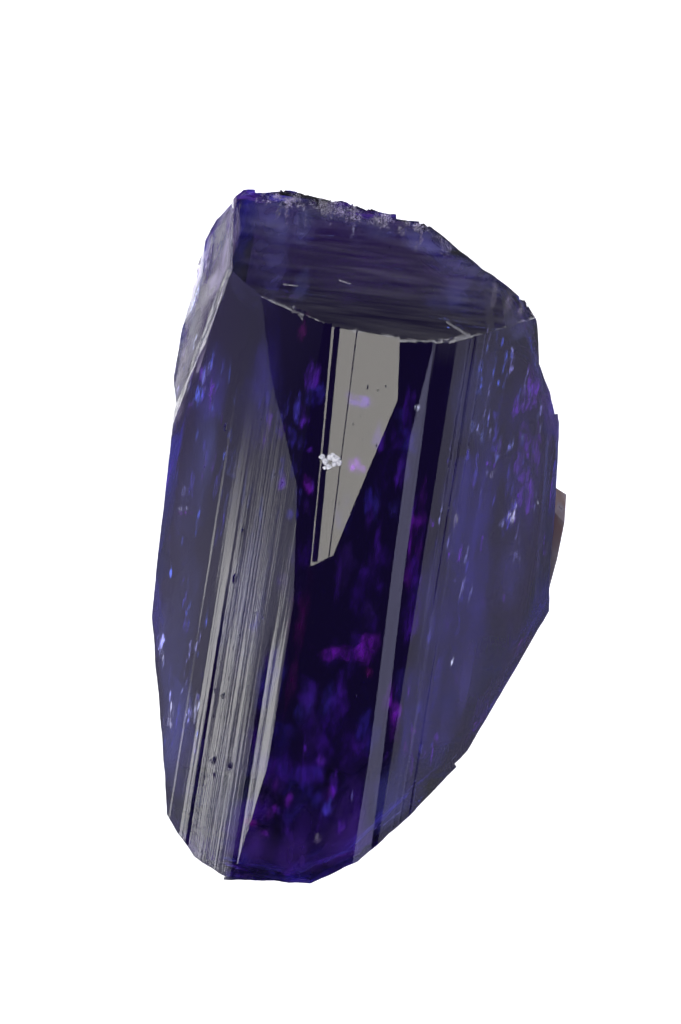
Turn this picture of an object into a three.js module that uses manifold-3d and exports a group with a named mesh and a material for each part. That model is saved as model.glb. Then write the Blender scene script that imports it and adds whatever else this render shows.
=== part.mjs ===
// A rough tanzanite crystal: one gem-clear, striated prism that lies on its flat back face.
// Millimetres. +Y runs along the prism to its sloping end face, +X is its right side seen from
// above, and +Z is up from the surface that it lies on. The origin is the middle of its footprint.
import * as THREE from "three";
import { mergeVertices } from "three/addons/utils/BufferGeometryUtils.js";
import Module from "manifold-3d";

// Driving dimensions
const PRISM_LOW_Y = -18.0; // the raw prism is longer than the crystal at both ends
const PRISM_HIGH_Y = 17.0;
const STRIPE_SEED = 11;
const STRIPE_JITTER = 0.8; // of a stripe's width
const CUTTER_SIZE = 90.0;
const SCOOP_DETAIL = 8; // subdivisions of the balls that scoop the broken places

// The prism's cross-section in x and z, clockwise from the back left corner. Each face runs from
// its own corner to the next one, and carries stripes narrow ridges that stand relief proud or
// sunk. The sides are wider than the crystal, and the planes below trim them.
const PRISM_FACES = [
  { name: "back_left", from: [-6.9, 0], stripes: 12, relief: 0.07 },
  { name: "left_side", from: [-9.9, 5.6], stripes: 1, relief: 0 },
  { name: "outer_left", from: [-9.9, 10.1], stripes: 15, relief: 0.03 },
  { name: "left", from: [-6.2, 12.57], stripes: 26, relief: 0.055 },
  { name: "centre", from: [-2.5, 14.13], stripes: 1, relief: 0 },
  { name: "ribbon", from: [1.8, 13.91], stripes: 1, relief: 0 },
  { name: "dark_strip", from: [2.4, 13.78], stripes: 2, relief: 0.01 },
  { name: "right_inner", from: [3.1, 13.72], stripes: 14, relief: 0.03 },
  { name: "right", from: [4.4, 13.37], stripes: 18, relief: 0.025 },
  { name: "right_outer", from: [7.2, 12.24], stripes: 12, relief: 0.025 },
  { name: "right_side", from: [10.2, 10.7], stripes: 1, relief: 0 },
  { name: "back_right", from: [10.0, 6.0], stripes: 12, relief: 0.07 },
  { name: "resting", from: [6.6, 0], stripes: 1, relief: 0 },
];

// Planes that trim the prism: a point on each, and the way out of the stone.
const TRIM_PLANES = [
  { name: "end_face", at: [0, 9.4, 13.965], out: [-0.071, 0.9, 1] },
  { name: "top_end", at: [-2.6, 15.62, 8.2], out: [0.09, 0.995, -0.1] },
  { name: "top_end_left", at: [-6.2, 15.75, 8.2], out: [-0.16, 0.985, -0.1] },
  { name: "top_end_right", at: [4.13, 13.3, 10.6], out: [0.55, 0.835, -0.1] },
  { name: "top_shoulder", at: [6.1, 11.85, 10.9], out: [0.86, 0.51, -0.1] },
  { name: "top_under", at: [0, 14.9, 3.5], out: [0.05, 0.8, -0.6] },
  { name: "top_left_corner", at: [-8.3, 15.0, 8.0], out: [-0.82, 0.57, -0.05] },
  { name: "left_outer", at: [-9.42, 12.4, 6.5], out: [-0.965, 0.26, -0.02] },
  { name: "left_side", at: [-9.78, 6.65, 6.0], out: [-0.999, 0.025, -0.01] },
  { name: "lower_left", at: [-8.04, -8.83, 11.3], out: [-0.967, -0.255, -0.12] },
  { name: "bottom_left", at: [-5.8, -15.08, 12.5], out: [-0.722, -0.692, -0.1] },
  { name: "bottom_left_low", at: [-4.7, -15.93, 12.5], out: [-0.428, -0.904, -0.1] },
  { name: "bottom", at: [-1.8, -16.12, 12.5], out: [0.13, -0.99, -0.1] },
  { name: "bottom_right", at: [2.0, -14.78, 12.9], out: [0.56, -0.83, -0.1] },
  { name: "bottom_right_high", at: [3.15, -13.62, 13.2], out: [0.754, -0.657, -0.1] },
  { name: "bottom_under", at: [-1.0, -15.4, 4.0], out: [0.02, -0.75, -0.66] },
  { name: "lower_right", at: [4.07, -12.63, 13.3], out: [0.803, -0.596, -0.12] },
  { name: "right_slant", at: [8.44, -4.23, 11.8], out: [0.931, -0.365, -0.12] },
  { name: "right_side", at: [8.76, 3.7, 11.6], out: [0.994, 0.107, -0.03] },
  { name: "right_upper", at: [8.16, 7.65, 12.0], out: [0.921, 0.389, -0.06] },
  { name: "lower_end", at: [-2.44, -10.7, 14.15], out: [-0.02, -0.0634, 0.998] },
];

// Inward corners: the stone is missing where it would lie outside all of a notch's planes.
const NOTCHES = [
  {
    name: "mirror_facet",
    planes: [
      { at: [-0.1, 3.05, 14.007], out: [-0.0685, 0.0287, 1] },
      { at: [0.62, 8.1, 14.0], out: [-0.9925, -0.122, 0] },
      { at: [-1.61, -1.28, 14.0], out: [-0.573, 0.819, 0] },
      { at: [-2.38, 4.1, 14.0], out: [0.9976, 0.0698, 0] },
    ],
  },
  {
    name: "dark_facet",
    planes: [
      { at: [-6.18, 10.46, 12.57], out: [-0.2876, 0.0509, 1] },
      { at: [-2.36, 4.1, 14.0], out: [-0.9976, -0.0698, 0] },
    ],
  },
  {
    name: "dark_trench",
    planes: [
      { at: [-2.3, -1.3, 14.035], out: [0, 0.05, 1] },
      { at: [-2.36, 4.1, 14.0], out: [-0.9976, -0.0698, 0] },
    ],
  },
  {
    name: "left_ledge_high",
    planes: [
      { at: [-7.75, 11.5, 11.53], out: [-0.969, 0.191, 0.156] },
      { at: [-7.75, 11.5, 11.53], out: [-0.985, -0.03, 0.139] },
      { at: [-8.2, 11.6, 8.6], out: [-0.7, 0.15, 0.7] },
    ],
  },
  {
    name: "left_ledge_low",
    planes: [
      { at: [-9.0, 11.6, 8.4], out: [-0.969, 0.2, 0.17] },
      { at: [-9.1, 11.6, 8.4], out: [-0.985, -0.03, 0.17] },
      { at: [-8.9, 11.6, 6.0], out: [-0.75, 0.15, 0.64] },
    ],
  },
  {
    name: "left_foot",
    planes: [
      { at: [-9.28, 1.5, 9.5], out: [-0.998, -0.05, -0.03] },
      { at: [-9.3, 4.3, 9.5], out: [-0.965, -0.261, -0.02] },
    ],
  },
  {
    name: "right_hollow",
    planes: [
      { at: [6.9, 10.1, 12.0], out: [0.974, 0.225, -0.06] },
      { at: [7.3, 9.0, 12.0], out: [0.842, 0.54, -0.06] },
    ],
  },
  {
    name: "left_cleavage",
    planes: [
      { at: [-7.7, -6.0, 4.6], out: [-1, 0.03, 0.06] },
      { at: [-8.6, -6.0, 3.6], out: [0.2, 0.06, -0.98] },
      { at: [-8.6, -0.6, 6.0], out: [-0.35, -0.93, -0.1] },
    ],
  },
  {
    name: "right_cleavage",
    planes: [
      { at: [6.1, -7.0, 6.0], out: [0.99, -0.1, -0.1] },
      { at: [6.7, -7.0, 5.2], out: [0.2, -0.1, -0.97] },
      { at: [7.0, -3.4, 6.0], out: [0.5, -0.85, 0.15] },
    ],
  },
  {
    name: "right_step",
    planes: [
      { at: [7.0, 9.4, 8.0], out: [0.97, 0.2, -0.1] },
      { at: [7.0, 9.4, 8.6], out: [0.2, 0.25, -0.95] },
      { at: [7.4, 6.4, 5.0], out: [0.3, 0.95, 0.1] },
    ],
  },
];

// Growth lines: shallow V grooves along the prism on the mirror facet.
const GROWTH_LINES = [
  { from: [-1.57, 9.9, 13.71], to: [-1.2, -1.3, 14.06], width: 0.09, depth: 0.05 },
  { from: [-2.46, 9.9, 13.65], to: [-1.77, -1.3, 14.02], width: 0.15, depth: 0.08 },
];

// Broken steps: blocks turned about Z and tipped about Y, taken out of the edges.
const CHIPS = [
  { name: "left_nick_1", at: [-10.2, 13.6, 7.6], size: [1.5, 1.0, 2.6], turn: 24, tip: 10 },
  { name: "left_nick_2", at: [-10.45, 11.2, 7.0], size: [1.2, 1.3, 3.0], turn: 18, tip: -8 },
  { name: "left_nick_3", at: [-10.6, 8.4, 7.6], size: [1.2, 1.8, 2.2], turn: 8, tip: 12 },
  { name: "top_edge_1", at: [-6.9, 16.0, 8.6], size: [1.2, 0.9, 2.2], turn: 12, tip: 8 },
  { name: "top_edge_2", at: [-4.6, 16.15, 8.6], size: [1.6, 0.9, 2.2], turn: -5, tip: 8 },
  { name: "top_edge_3", at: [-2.2, 16.05, 8.8], size: [0.9, 1.1, 2.4], turn: -18, tip: -10 },
  { name: "top_edge_4", at: [0.1, 15.7, 8.6], size: [1.5, 0.9, 3.0], turn: 2, tip: 6 },
  { name: "top_edge_5", at: [2.95, 14.75, 9.4], size: [1.1, 0.9, 3.0], turn: -44, tip: -6 },
  { name: "top_edge_6", at: [4.75, 13.6, 9.9], size: [1.2, 0.9, 3.4], turn: -20, tip: 6 },
  { name: "right_shoulder", at: [8.75, 8.15, 11.9], size: [1.6, 1.3, 3.2], turn: 20, tip: -10 },
  { name: "right_notch", at: [9.0, 5.5, 10.6], size: [0.6, 1.6, 3.4], turn: -6, tip: 6 },
  { name: "bottom_step_1", at: [-6.3, -15.5, 12.2], size: [0.9, 1.1, 2.6], turn: -50, tip: 9 },
  { name: "bottom_step_2", at: [-4.5, -16.7, 12.7], size: [1.2, 1.3, 4.0], turn: -20, tip: 9 },
  { name: "bottom_step_3", at: [-3.3, -17.1, 13.0], size: [0.8, 1.2, 3.0], turn: 12, tip: -9 },
  { name: "bottom_step_4", at: [0.6, -16.3, 13.2], size: [1.3, 0.6, 2.2], turn: 14, tip: -8 },
  { name: "lower_tip", at: [-3.0, -16.5, 14.6], size: [0.7, 1.5, 1.4], turn: -24, tip: 12 },
  { name: "lower_right_step", at: [6.9, -9.0, 12.6], size: [1.8, 0.6, 3.0], turn: 52, tip: -4 },
];

// Shell-shaped breaks: stretched balls that scoop the broken ends and sides below the front.
const SCOOPS = [
  { name: "top_end_shell", at: [-3.6, 24.3, 2.2], radii: [9.9, 10.8, 8.6] },
  { name: "top_end_shell_right", at: [8.6, 20.0, 2.6], radii: [10.4, 10.4, 8.8] },
  { name: "left_trough", at: [-13.2, 2.5, 5.2], radii: [4.9, 12.5, 4.4] },
  { name: "right_trough", at: [12.1, 7.6, 4.6], radii: [4.6, 9.5, 4.2] },
  { name: "bottom_shell", at: [-2.5, -24.3, 3.5], radii: [8.6, 10.5, 9.0] },
  { name: "bottom_shell_left", at: [-10.0, -19.8, 5.2], radii: [8.2, 8.4, 7.6] },
  { name: "bottom_shell_right", at: [7.8, -18.3, 4.6], radii: [8.8, 8.8, 8.2] },
];

// Small pits that the striated left face shows, each longest along the prism.
const PITS = [
  { at: [-5.35, -0.38, 12.93], radius: 0.2 },
  { at: [-5.37, -2.64, 12.92], radius: 0.22 },
  { at: [-5.47, -7.93, 12.88], radius: 0.15 },
  { at: [-5.3, -9.1, 12.95], radius: 0.14 },
  { at: [-4.97, -11.14, 13.09], radius: 0.17 },
  { at: [-4.2, -11.26, 13.41], radius: 0.15 },
  { at: [-6.9, 4.2, 12.1], radius: 0.14 },
];
const PIT_STRETCH = 2.2;

// A thin plate of the same crystal that stands out of the right side.
const SIDE_PLATE = {
  outline: [
    [6.4, 4.0],
    [8.8, 3.95],
    [9.5, 3.65],
    [9.62, 2.3],
    [9.55, 0.6],
    [9.3, -1.8],
    [8.3, -2.8],
    [6.4, -3.0],
  ],
  low: 5.6,
  high: 9.4,
  lean: -7,
  trims: [
    { at: [9.3, 3.0, 9.0], out: [0.4, 0.55, 0.73] },
    { at: [9.45, -1.2, 9.0], out: [0.5, -0.3, 0.8] },
    { at: [9.3, 0.2, 5.9], out: [0.45, -0.35, -0.82] },
  ],
};

// A few crumbs of white mineral that grew on the mirror facet's left edge.
const CRUMBS = [
  { at: [-1.72, 3.5, 13.93], radius: 0.3 },
  { at: [-2.12, 3.42, 13.92], radius: 0.24 },
  { at: [-2.0, 3.05, 13.95], radius: 0.22 },
  { at: [-1.45, 3.4, 13.96], radius: 0.2 },
  { at: [-2.3, 3.72, 13.88], radius: 0.2 },
];

const wasm = await Module();
wasm.setup();

// A repeatable stream of numbers from 0 to 1.
function makeRandom(seed) {
  let state = seed;
  return () => {
    state = (state * 1664525 + 1013904223) % 4294967296;
    return state / 4294967296;
  };
}

// A closed mesh as a solid.
function solidOf(geometry) {
  const bare = geometry.clone();
  bare.deleteAttribute("normal");
  bare.deleteAttribute("uv");
  const merged = mergeVertices(bare, 1e-4);
  const vertProperties = merged.attributes.position.array;
  const triVerts = new Uint32Array(merged.index.array);
  return new wasm.Manifold(new wasm.Mesh({ numProp: 3, vertProperties, triVerts }));
}

// A solid as a mesh with flat-shaded faces.
function geometryOf(solid) {
  const { vertProperties, triVerts } = solid.getMesh();
  const geometry = new THREE.BufferGeometry();
  geometry.setAttribute("position", new THREE.BufferAttribute(vertProperties, 3));
  geometry.setIndex(new THREE.BufferAttribute(triVerts, 1));
  const flat = geometry.toNonIndexed();
  flat.computeVertexNormals();
  return flat;
}

// Everything on the outer side of a plane, as a large block.
function outside(plane) {
  const block = new THREE.BoxGeometry(CUTTER_SIZE, CUTTER_SIZE, CUTTER_SIZE);
  block.translate(0, 0, CUTTER_SIZE / 2);
  const out = new THREE.Vector3(...plane.out).normalize();
  const turn = new THREE.Quaternion().setFromUnitVectors(new THREE.Vector3(0, 0, 1), out);
  block.applyQuaternion(turn);
  block.translate(...plane.at);
  return solidOf(block);
}

// The striated cross-section, all the way round.
function crossSection() {
  const random = makeRandom(STRIPE_SEED);
  const points = [];
  PRISM_FACES.forEach((face, i) => {
    const from = new THREE.Vector2(...face.from);
    const to = new THREE.Vector2(...PRISM_FACES[(i + 1) % PRISM_FACES.length].from);
    const along = to.clone().sub(from);
    const outward = new THREE.Vector2(-along.y, along.x).normalize();
    points.push(from);
    for (let stripe = 1; stripe < face.stripes; stripe++) {
      const share = (stripe + (random() - 0.5) * STRIPE_JITTER) / face.stripes;
      const proud = (random() * 2 - 1) * face.relief;
      points.push(from.clone().addScaledVector(along, share).addScaledVector(outward, proud));
    }
  });
  return points;
}

// The raw prism: the cross-section drawn out along Y.
function rawPrism() {
  const shape = new THREE.Shape(crossSection().reverse());
  const depth = PRISM_HIGH_Y - PRISM_LOW_Y;
  const prism = new THREE.ExtrudeGeometry(shape, { depth, steps: 1, bevelEnabled: false });
  prism.rotateX(Math.PI / 2);
  prism.translate(0, PRISM_HIGH_Y, 0);
  return solidOf(prism);
}

// The stone that an inward corner leaves out.
function notchBlock(notch) {
  return notch.planes.map(outside).reduce((block, side) => block.intersect(side));
}

// A V groove between two points, as a long three-sided bar with one edge down.
function growthLine(line) {
  const from = new THREE.Vector3(...line.from);
  const to = new THREE.Vector3(...line.to);
  const shape = new THREE.Shape([
    new THREE.Vector2(0, -line.depth),
    new THREE.Vector2(line.width, line.depth),
    new THREE.Vector2(-line.width, line.depth),
  ]);
  const depth = from.distanceTo(to);
  const bar = new THREE.ExtrudeGeometry(shape, { depth, steps: 1, bevelEnabled: false });
  const along = to.clone().sub(from).normalize();
  const across = new THREE.Vector3(0, 0, 1).cross(along).normalize();
  const up = along.clone().cross(across);
  bar.applyMatrix4(new THREE.Matrix4().makeBasis(across, up, along).setPosition(from));
  return solidOf(bar);
}

// A block that breaks a step out of an edge.
function chipBlock(chip) {
  const block = new THREE.BoxGeometry(...chip.size);
  block.rotateY(THREE.MathUtils.degToRad(chip.tip));
  block.rotateZ(THREE.MathUtils.degToRad(chip.turn));
  block.translate(...chip.at);
  return solidOf(block);
}

// A stretched ball that leaves a shell-shaped hollow.
function scoopBall(scoop) {
  const ball = new THREE.IcosahedronGeometry(1, SCOOP_DETAIL);
  ball.scale(...scoop.radii);
  ball.translate(...scoop.at);
  return solidOf(ball);
}

// A pit, as a stretched twenty-sided lump.
function pitLump(pit) {
  const lump = new THREE.IcosahedronGeometry(pit.radius, 0);
  lump.scale(1, PIT_STRETCH, 1);
  lump.translate(...pit.at);
  return solidOf(lump);
}

// The plate on the right side, leaning a little on the prism.
function sidePlate() {
  const shape = new THREE.Shape(SIDE_PLATE.outline.map(([x, y]) => new THREE.Vector2(x, y)));
  const depth = SIDE_PLATE.high - SIDE_PLATE.low;
  const plate = new THREE.ExtrudeGeometry(shape, { depth, steps: 1, bevelEnabled: false });
  const reach = Math.max(...SIDE_PLATE.outline.map(([x]) => x));
  plate.translate(-reach, 0, 0);
  plate.rotateY(THREE.MathUtils.degToRad(SIDE_PLATE.lean));
  plate.translate(reach, 0, SIDE_PLATE.low);
  return SIDE_PLATE.trims.map(outside).reduce((slab, side) => slab.subtract(side), solidOf(plate));
}

// One white crumb, turned by its place in the list so that no two lie alike.
function crumb({ at, radius }, index) {
  const grain = new THREE.DodecahedronGeometry(radius, 0);
  grain.scale(1, 0.85, 0.7);
  grain.rotateZ(index * 0.9);
  grain.rotateX(index * 0.5);
  grain.translate(...at);
  return solidOf(grain);
}

// The whole stone, cut, chipped and grown together into one solid.
function crystalSolid() {
  const cutters = [
    ...TRIM_PLANES.map(outside),
    ...NOTCHES.map(notchBlock),
    ...GROWTH_LINES.map(growthLine),
    ...CHIPS.map(chipBlock),
    ...SCOOPS.map(scoopBall),
    ...PITS.map(pitLump),
  ];
  const prism = cutters.reduce((stone, cutter) => stone.subtract(cutter), rawPrism());
  return CRUMBS.map(crumb).reduce((stone, grain) => stone.add(grain), prism.add(sidePlate()));
}

// The stone's geometry with the middle of its footprint at the origin.
function crystalGeometry() {
  const geometry = geometryOf(crystalSolid());
  geometry.computeBoundingBox();
  const { min, max } = geometry.boundingBox;
  geometry.translate(-(min.x + max.x) / 2, -(min.y + max.y) / 2, -min.z);
  return geometry;
}

const tanzanite = new THREE.MeshStandardMaterial({
  color: new THREE.Color(0.07, 0.045, 0.22),
  roughness: 0.06,
  metalness: 0.0,
});

const crystal = new THREE.Mesh(crystalGeometry(), tanzanite);
crystal.name = "crystal";

const tanzaniteCrystal = new THREE.Group();
tanzaniteCrystal.add(crystal);

export default tanzaniteCrystal;
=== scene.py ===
"""A rough tanzanite crystal lying on its flat back face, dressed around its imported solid.

Lengths in the tables below are in millimetres, in the crystal's own measuring frame: +Y runs along
the prism to its sloping end face, +X to its right side seen from above, +Z up from the resting face.
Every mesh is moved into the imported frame, in metres, once it is built.
"""

import itertools
import logging
import math
from dataclasses import dataclass, field
from enum import Enum

import bmesh
import bpy
import numpy as np
from mathutils import Matrix, Vector


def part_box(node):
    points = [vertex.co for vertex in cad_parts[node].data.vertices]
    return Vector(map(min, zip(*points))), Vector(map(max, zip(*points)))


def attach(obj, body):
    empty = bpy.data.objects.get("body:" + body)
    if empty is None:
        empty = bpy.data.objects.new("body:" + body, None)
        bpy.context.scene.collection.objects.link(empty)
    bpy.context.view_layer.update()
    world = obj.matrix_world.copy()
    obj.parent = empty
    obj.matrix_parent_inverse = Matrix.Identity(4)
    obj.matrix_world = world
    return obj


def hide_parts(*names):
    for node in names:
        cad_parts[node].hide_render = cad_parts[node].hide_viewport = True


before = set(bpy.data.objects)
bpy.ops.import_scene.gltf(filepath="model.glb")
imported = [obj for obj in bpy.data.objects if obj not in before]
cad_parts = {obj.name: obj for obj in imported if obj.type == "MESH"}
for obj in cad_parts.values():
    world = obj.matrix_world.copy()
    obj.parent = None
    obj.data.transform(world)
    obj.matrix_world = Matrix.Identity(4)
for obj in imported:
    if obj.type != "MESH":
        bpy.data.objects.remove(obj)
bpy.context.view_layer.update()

logging.basicConfig(level=logging.INFO, format="%(message)s")
LOG = logging.getLogger("tanzanite")

BODY = "root"
CAD_NODE = "crystal"
MM = 0.001
FOOTPRINT_MIDDLE = (-0.095, -0.332)  # middle of the solid's footprint in the measuring frame
PRISM_ENDS = (-18.0, 17.0)
FAR = 60.0  # further than any part of the stone
SQUARE = ((-1, -1), (1, -1), (1, 1), (-1, 1))
BOX_FACES = [(3, 2, 1, 0), (4, 5, 6, 7), (0, 1, 5, 4), (1, 2, 6, 5), (2, 3, 7, 6), (3, 0, 4, 7)]
REFRACTION = 1.69
WHITE = (1.0, 1.0, 1.0)
EVENLY = (1.0, 1.0, 1.0)
FRONT_FACES = slice(2, 10)  # the faces of the prism that are seen from above

Point = tuple[float, float, float]
Colour = tuple[float, float, float]
Pair = tuple[float, float]
Plane = tuple[Vector, Vector]
Points = np.ndarray | list[Vector] | list[Point]
Solid = bpy.types.Object
Socket = bpy.types.NodeSocket
Material = bpy.types.Material
Bump = tuple[Socket, float, float]  # height, strength and distance
Absorption = tuple[Colour, float]  # colour and density


class Relief(Enum):
    """How the surface of a cut or break runs."""

    FLAT = "flat"
    LAYERED = "layered"
    CLEAVED = "cleaved"
    HACKLY = "hackly"
    FINE_BREAK = "fine break"
    SHARDS = "shards"


FINE_CELLS = {Relief.LAYERED: 0.11, Relief.SHARDS: 0.12}  # width of the grid that carries them


@dataclass(frozen=True)
class Band:
    """A band of narrow strips along a face.

    Tilts are degrees, positive towards the face's start. Calm is the share of the spread that is
    lost towards the end face.
    """

    until: float
    tilt_low: float
    tilt_high: float
    pitch: float
    spread: float
    texture: float
    calm: float = 0.0


@dataclass(frozen=True)
class PrismFace:
    """One face of the prism's cross-section, from its own corner to the next face's corner."""

    name: str
    start: Pair
    swell: float
    bands: tuple[Band, ...]


@dataclass(frozen=True)
class Cut:
    """A plane that takes stone away on its outer side."""

    name: str
    at: Point
    out: Point
    relief: Relief = Relief.FLAT
    depth: float = 0.0
    broken: float = 0.0

    def plane(self) -> Plane:
        """A point on it and the way out of the stone."""
        return Vector(self.at), Vector(self.out).normalized()


@dataclass(frozen=True)
class Notch:
    """An inward corner: stone is missing where it lies outside all of the cuts."""

    name: str
    cuts: tuple[Cut, ...]


@dataclass(frozen=True)
class Chip:
    """A broken step, taken out of an edge by a tilted block."""

    name: str
    at: Point
    size: Point
    turn: float
    tip: float

    def turning(self, size: int) -> Matrix:
        """How the block is turned, as a square matrix of a size."""
        return turned(self.turn, "Z", size) @ turned(self.tip, "Y", size)


@dataclass(frozen=True)
class Shell:
    """A shell-shaped break, hollowed by a stretched ball with ripples."""

    name: str
    at: Point
    radii: Point


@dataclass(frozen=True)
class Groove:
    """A narrow flat-floored growth line between two points on its floor."""

    start: Point
    end: Point
    width: float
    tilt: float


@dataclass(frozen=True)
class WornEdge:
    """A stretch of sharp edge that is rubbed to a thin uneven rim."""

    start: Point
    end: Point
    out: Point
    depth: float
    half: float = 0.35


@dataclass(frozen=True)
class NickRow:
    """A row of small broken steps along an edge."""

    start: Point
    end: Point
    count: int
    size: Point


@dataclass(frozen=True)
class SpeckField:
    """Pinholes scattered over part of a flat face, which is given by a point and its way out."""

    at: Point
    out: Point
    low: Pair
    high: Pair
    count: int
    radius: float


@dataclass(frozen=True)
class Pit:
    """A small hollow, longest along the prism."""

    at: Point
    radius: float


def even(pitch: float, spread: float = 0.0, texture: float = 0.0) -> tuple[Band, ...]:
    """One band over a whole face.

    Args:
        pitch: The mean width of its strips, in millimetres.
        spread: How far the strips tilt, in degrees.
        texture: How strongly fine lines show, from 0 to 1.

    Returns:
        The band, as the only one of its face.
    """
    return (Band(1.0, 0.0, 0.0, pitch, spread, texture),)


LEFT_BANDS = (
    Band(0.07, 0.2, -2.4, 0.1, 1.2, 0.4, 0.4),
    Band(0.13, 1.7, 0.6, 0.05, 2.4, 0.5, 0.4),
    Band(0.17, -14.0, -4.0, 0.06, 1.5, 0.5, 0.4),
    Band(0.25, 2.4, -0.4, 0.05, 4.5, 1.0, 0.5),
    Band(0.38, 2.2, -3.6, 0.045, 6.5, 1.0, 0.5),
    Band(0.49, 1.7, -4.0, 0.05, 6.0, 1.0, 0.55),
    Band(0.63, 0.9, -4.2, 0.06, 3.2, 0.8, 0.7),
    Band(0.75, -0.9, -4.2, 0.07, 2.4, 0.6, 0.6),
    Band(0.81, -9.0, -3.4, 0.07, 1.6, 0.4, 0.5),
    Band(0.84, 2.8, -4.2, 0.05, 1.2, 0.4, 0.5),
    Band(0.89, -0.4, -4.0, 0.05, 3.0, 0.5, 0.6),
    Band(1.0, 2.5, -4.6, 0.06, 2.2, 0.4, 0.6),
)
OUTER_LEFT_BANDS = (
    Band(0.62, 0.4, 0.4, 0.16, 0.9, 0.15),
    Band(0.86, 0.2, 0.2, 0.13, 1.3, 0.2),
    Band(0.885, -9.0, -9.0, 0.05, 0.5, 0.2),
    Band(1.0, 0.6, 0.6, 0.12, 1.2, 0.2),
)
RIGHT_INNER_BANDS = (
    Band(0.35, 0.0, 0.0, 0.08, 1.0, 0.3),
    Band(0.75, 0.0, 2.4, 0.05, 6.0, 0.8),
    Band(1.0, 0.0, 0.6, 0.07, 3.0, 0.5),
)

PRISM_FACES = (
    PrismFace("back_left", (-6.9, 0.0), 0.05, even(0.32, 7.0)),
    PrismFace("left_side", (-9.9, 5.6), 0.0, even(1.2)),
    PrismFace("outer_left", (-9.9, 10.1), 0.012, OUTER_LEFT_BANDS),
    PrismFace("left", (-6.2, 12.57), 0.006, LEFT_BANDS),
    PrismFace("centre", (-2.5, 14.13), 0.004, even(0.5, 0.1)),
    PrismFace("ribbon", (1.8, 13.91), 0.0, even(0.12, 0.4, 0.2)),
    PrismFace("dark_strip", (2.4, 13.78), 0.002, even(0.14, 0.8, 0.1)),
    PrismFace("right_inner", (3.1, 13.72), 0.008, RIGHT_INNER_BANDS),
    PrismFace("right", (4.4, 13.37), 0.014, even(0.1, 2.0, 0.5)),
    PrismFace("right_outer", (7.2, 12.24), 0.012, even(0.13, 2.0, 0.4)),
    PrismFace("right_side", (10.2, 10.7), 0.0, even(1.2)),
    PrismFace("back_right", (10.0, 6.0), 0.05, even(0.32, 7.0)),
    PrismFace("resting", (6.6, 0.0), 0.0, even(1.5)),
)
FACES_AFTER = PRISM_FACES[1:] + PRISM_FACES[:1]

TRIM_CUTS = (
    Cut("end_face", (0, 9.4, 13.965), (-0.071, 0.9, 1), Relief.LAYERED, 0.006, 0.0),
    Cut("top_end", (-2.6, 15.62, 8.2), (0.09, 0.995, -0.1), Relief.HACKLY, 0.12, 1.0),
    Cut("top_end_left", (-6.2, 15.75, 8.2), (-0.16, 0.985, -0.1), Relief.HACKLY, 0.12, 1.0),
    Cut("top_end_right", (4.13, 13.3, 10.6), (0.55, 0.835, -0.1), Relief.HACKLY, 0.1, 1.0),
    Cut("top_shoulder", (6.1, 11.85, 10.9), (0.86, 0.51, -0.1), Relief.HACKLY, 0.07, 1.0),
    Cut("top_under", (0, 14.9, 3.5), (0.05, 0.8, -0.6), Relief.HACKLY, 0.14, 1.0),
    Cut("top_left_corner", (-8.3, 15.0, 8.0), (-0.82, 0.57, -0.05), Relief.HACKLY, 0.12, 1.0),
    Cut("left_outer", (-9.42, 12.4, 6.5), (-0.965, 0.26, -0.02), Relief.CLEAVED, 0.07, 0.8),
    Cut("left_side", (-9.78, 6.65, 6.0), (-0.999, 0.025, -0.01), Relief.CLEAVED, 0.05, 0.35),
    Cut("lower_left", (-8.04, -8.83, 11.3), (-0.967, -0.255, -0.12), Relief.CLEAVED, 0.06, 0.6),
    Cut("bottom_left", (-5.8, -15.08, 12.5), (-0.722, -0.692, -0.1), Relief.HACKLY, 0.06, 0.8),
    Cut("bottom_left_low", (-4.7, -15.93, 12.5), (-0.428, -0.904, -0.1), Relief.HACKLY, 0.06, 0.8),
    Cut("bottom", (-1.8, -16.12, 12.5), (0.13, -0.99, -0.1), Relief.HACKLY, 0.07, 1.0),
    Cut("bottom_right", (2.0, -14.78, 12.9), (0.56, -0.83, -0.1), Relief.FINE_BREAK, 0.05, 0.8),
    Cut("bottom_right_high", (3.15, -13.62, 13.2), (0.754, -0.657, -0.1), Relief.FINE_BREAK, 0.04, 0.6),
    Cut("bottom_under", (-1.0, -15.4, 4.0), (0.02, -0.75, -0.66), Relief.HACKLY, 0.14, 1.0),
    Cut("lower_right", (4.07, -12.63, 13.3), (0.803, -0.596, -0.12), Relief.FINE_BREAK, 0.04, 0.6),
    Cut("right_slant", (8.44, -4.23, 11.8), (0.919, -0.393, -0.12), Relief.FINE_BREAK, 0.03, 0.6),
    Cut("right_side", (8.76, 3.7, 11.6), (0.994, 0.107, -0.03), Relief.CLEAVED, 0.06, 0.8),
    Cut("right_upper", (8.16, 7.65, 12.0), (0.921, 0.389, -0.06), Relief.CLEAVED, 0.06, 0.8),
    Cut("lower_end", (-2.44, -10.7, 14.15), (-0.02, -0.0634, 0.998)),
)

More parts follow.
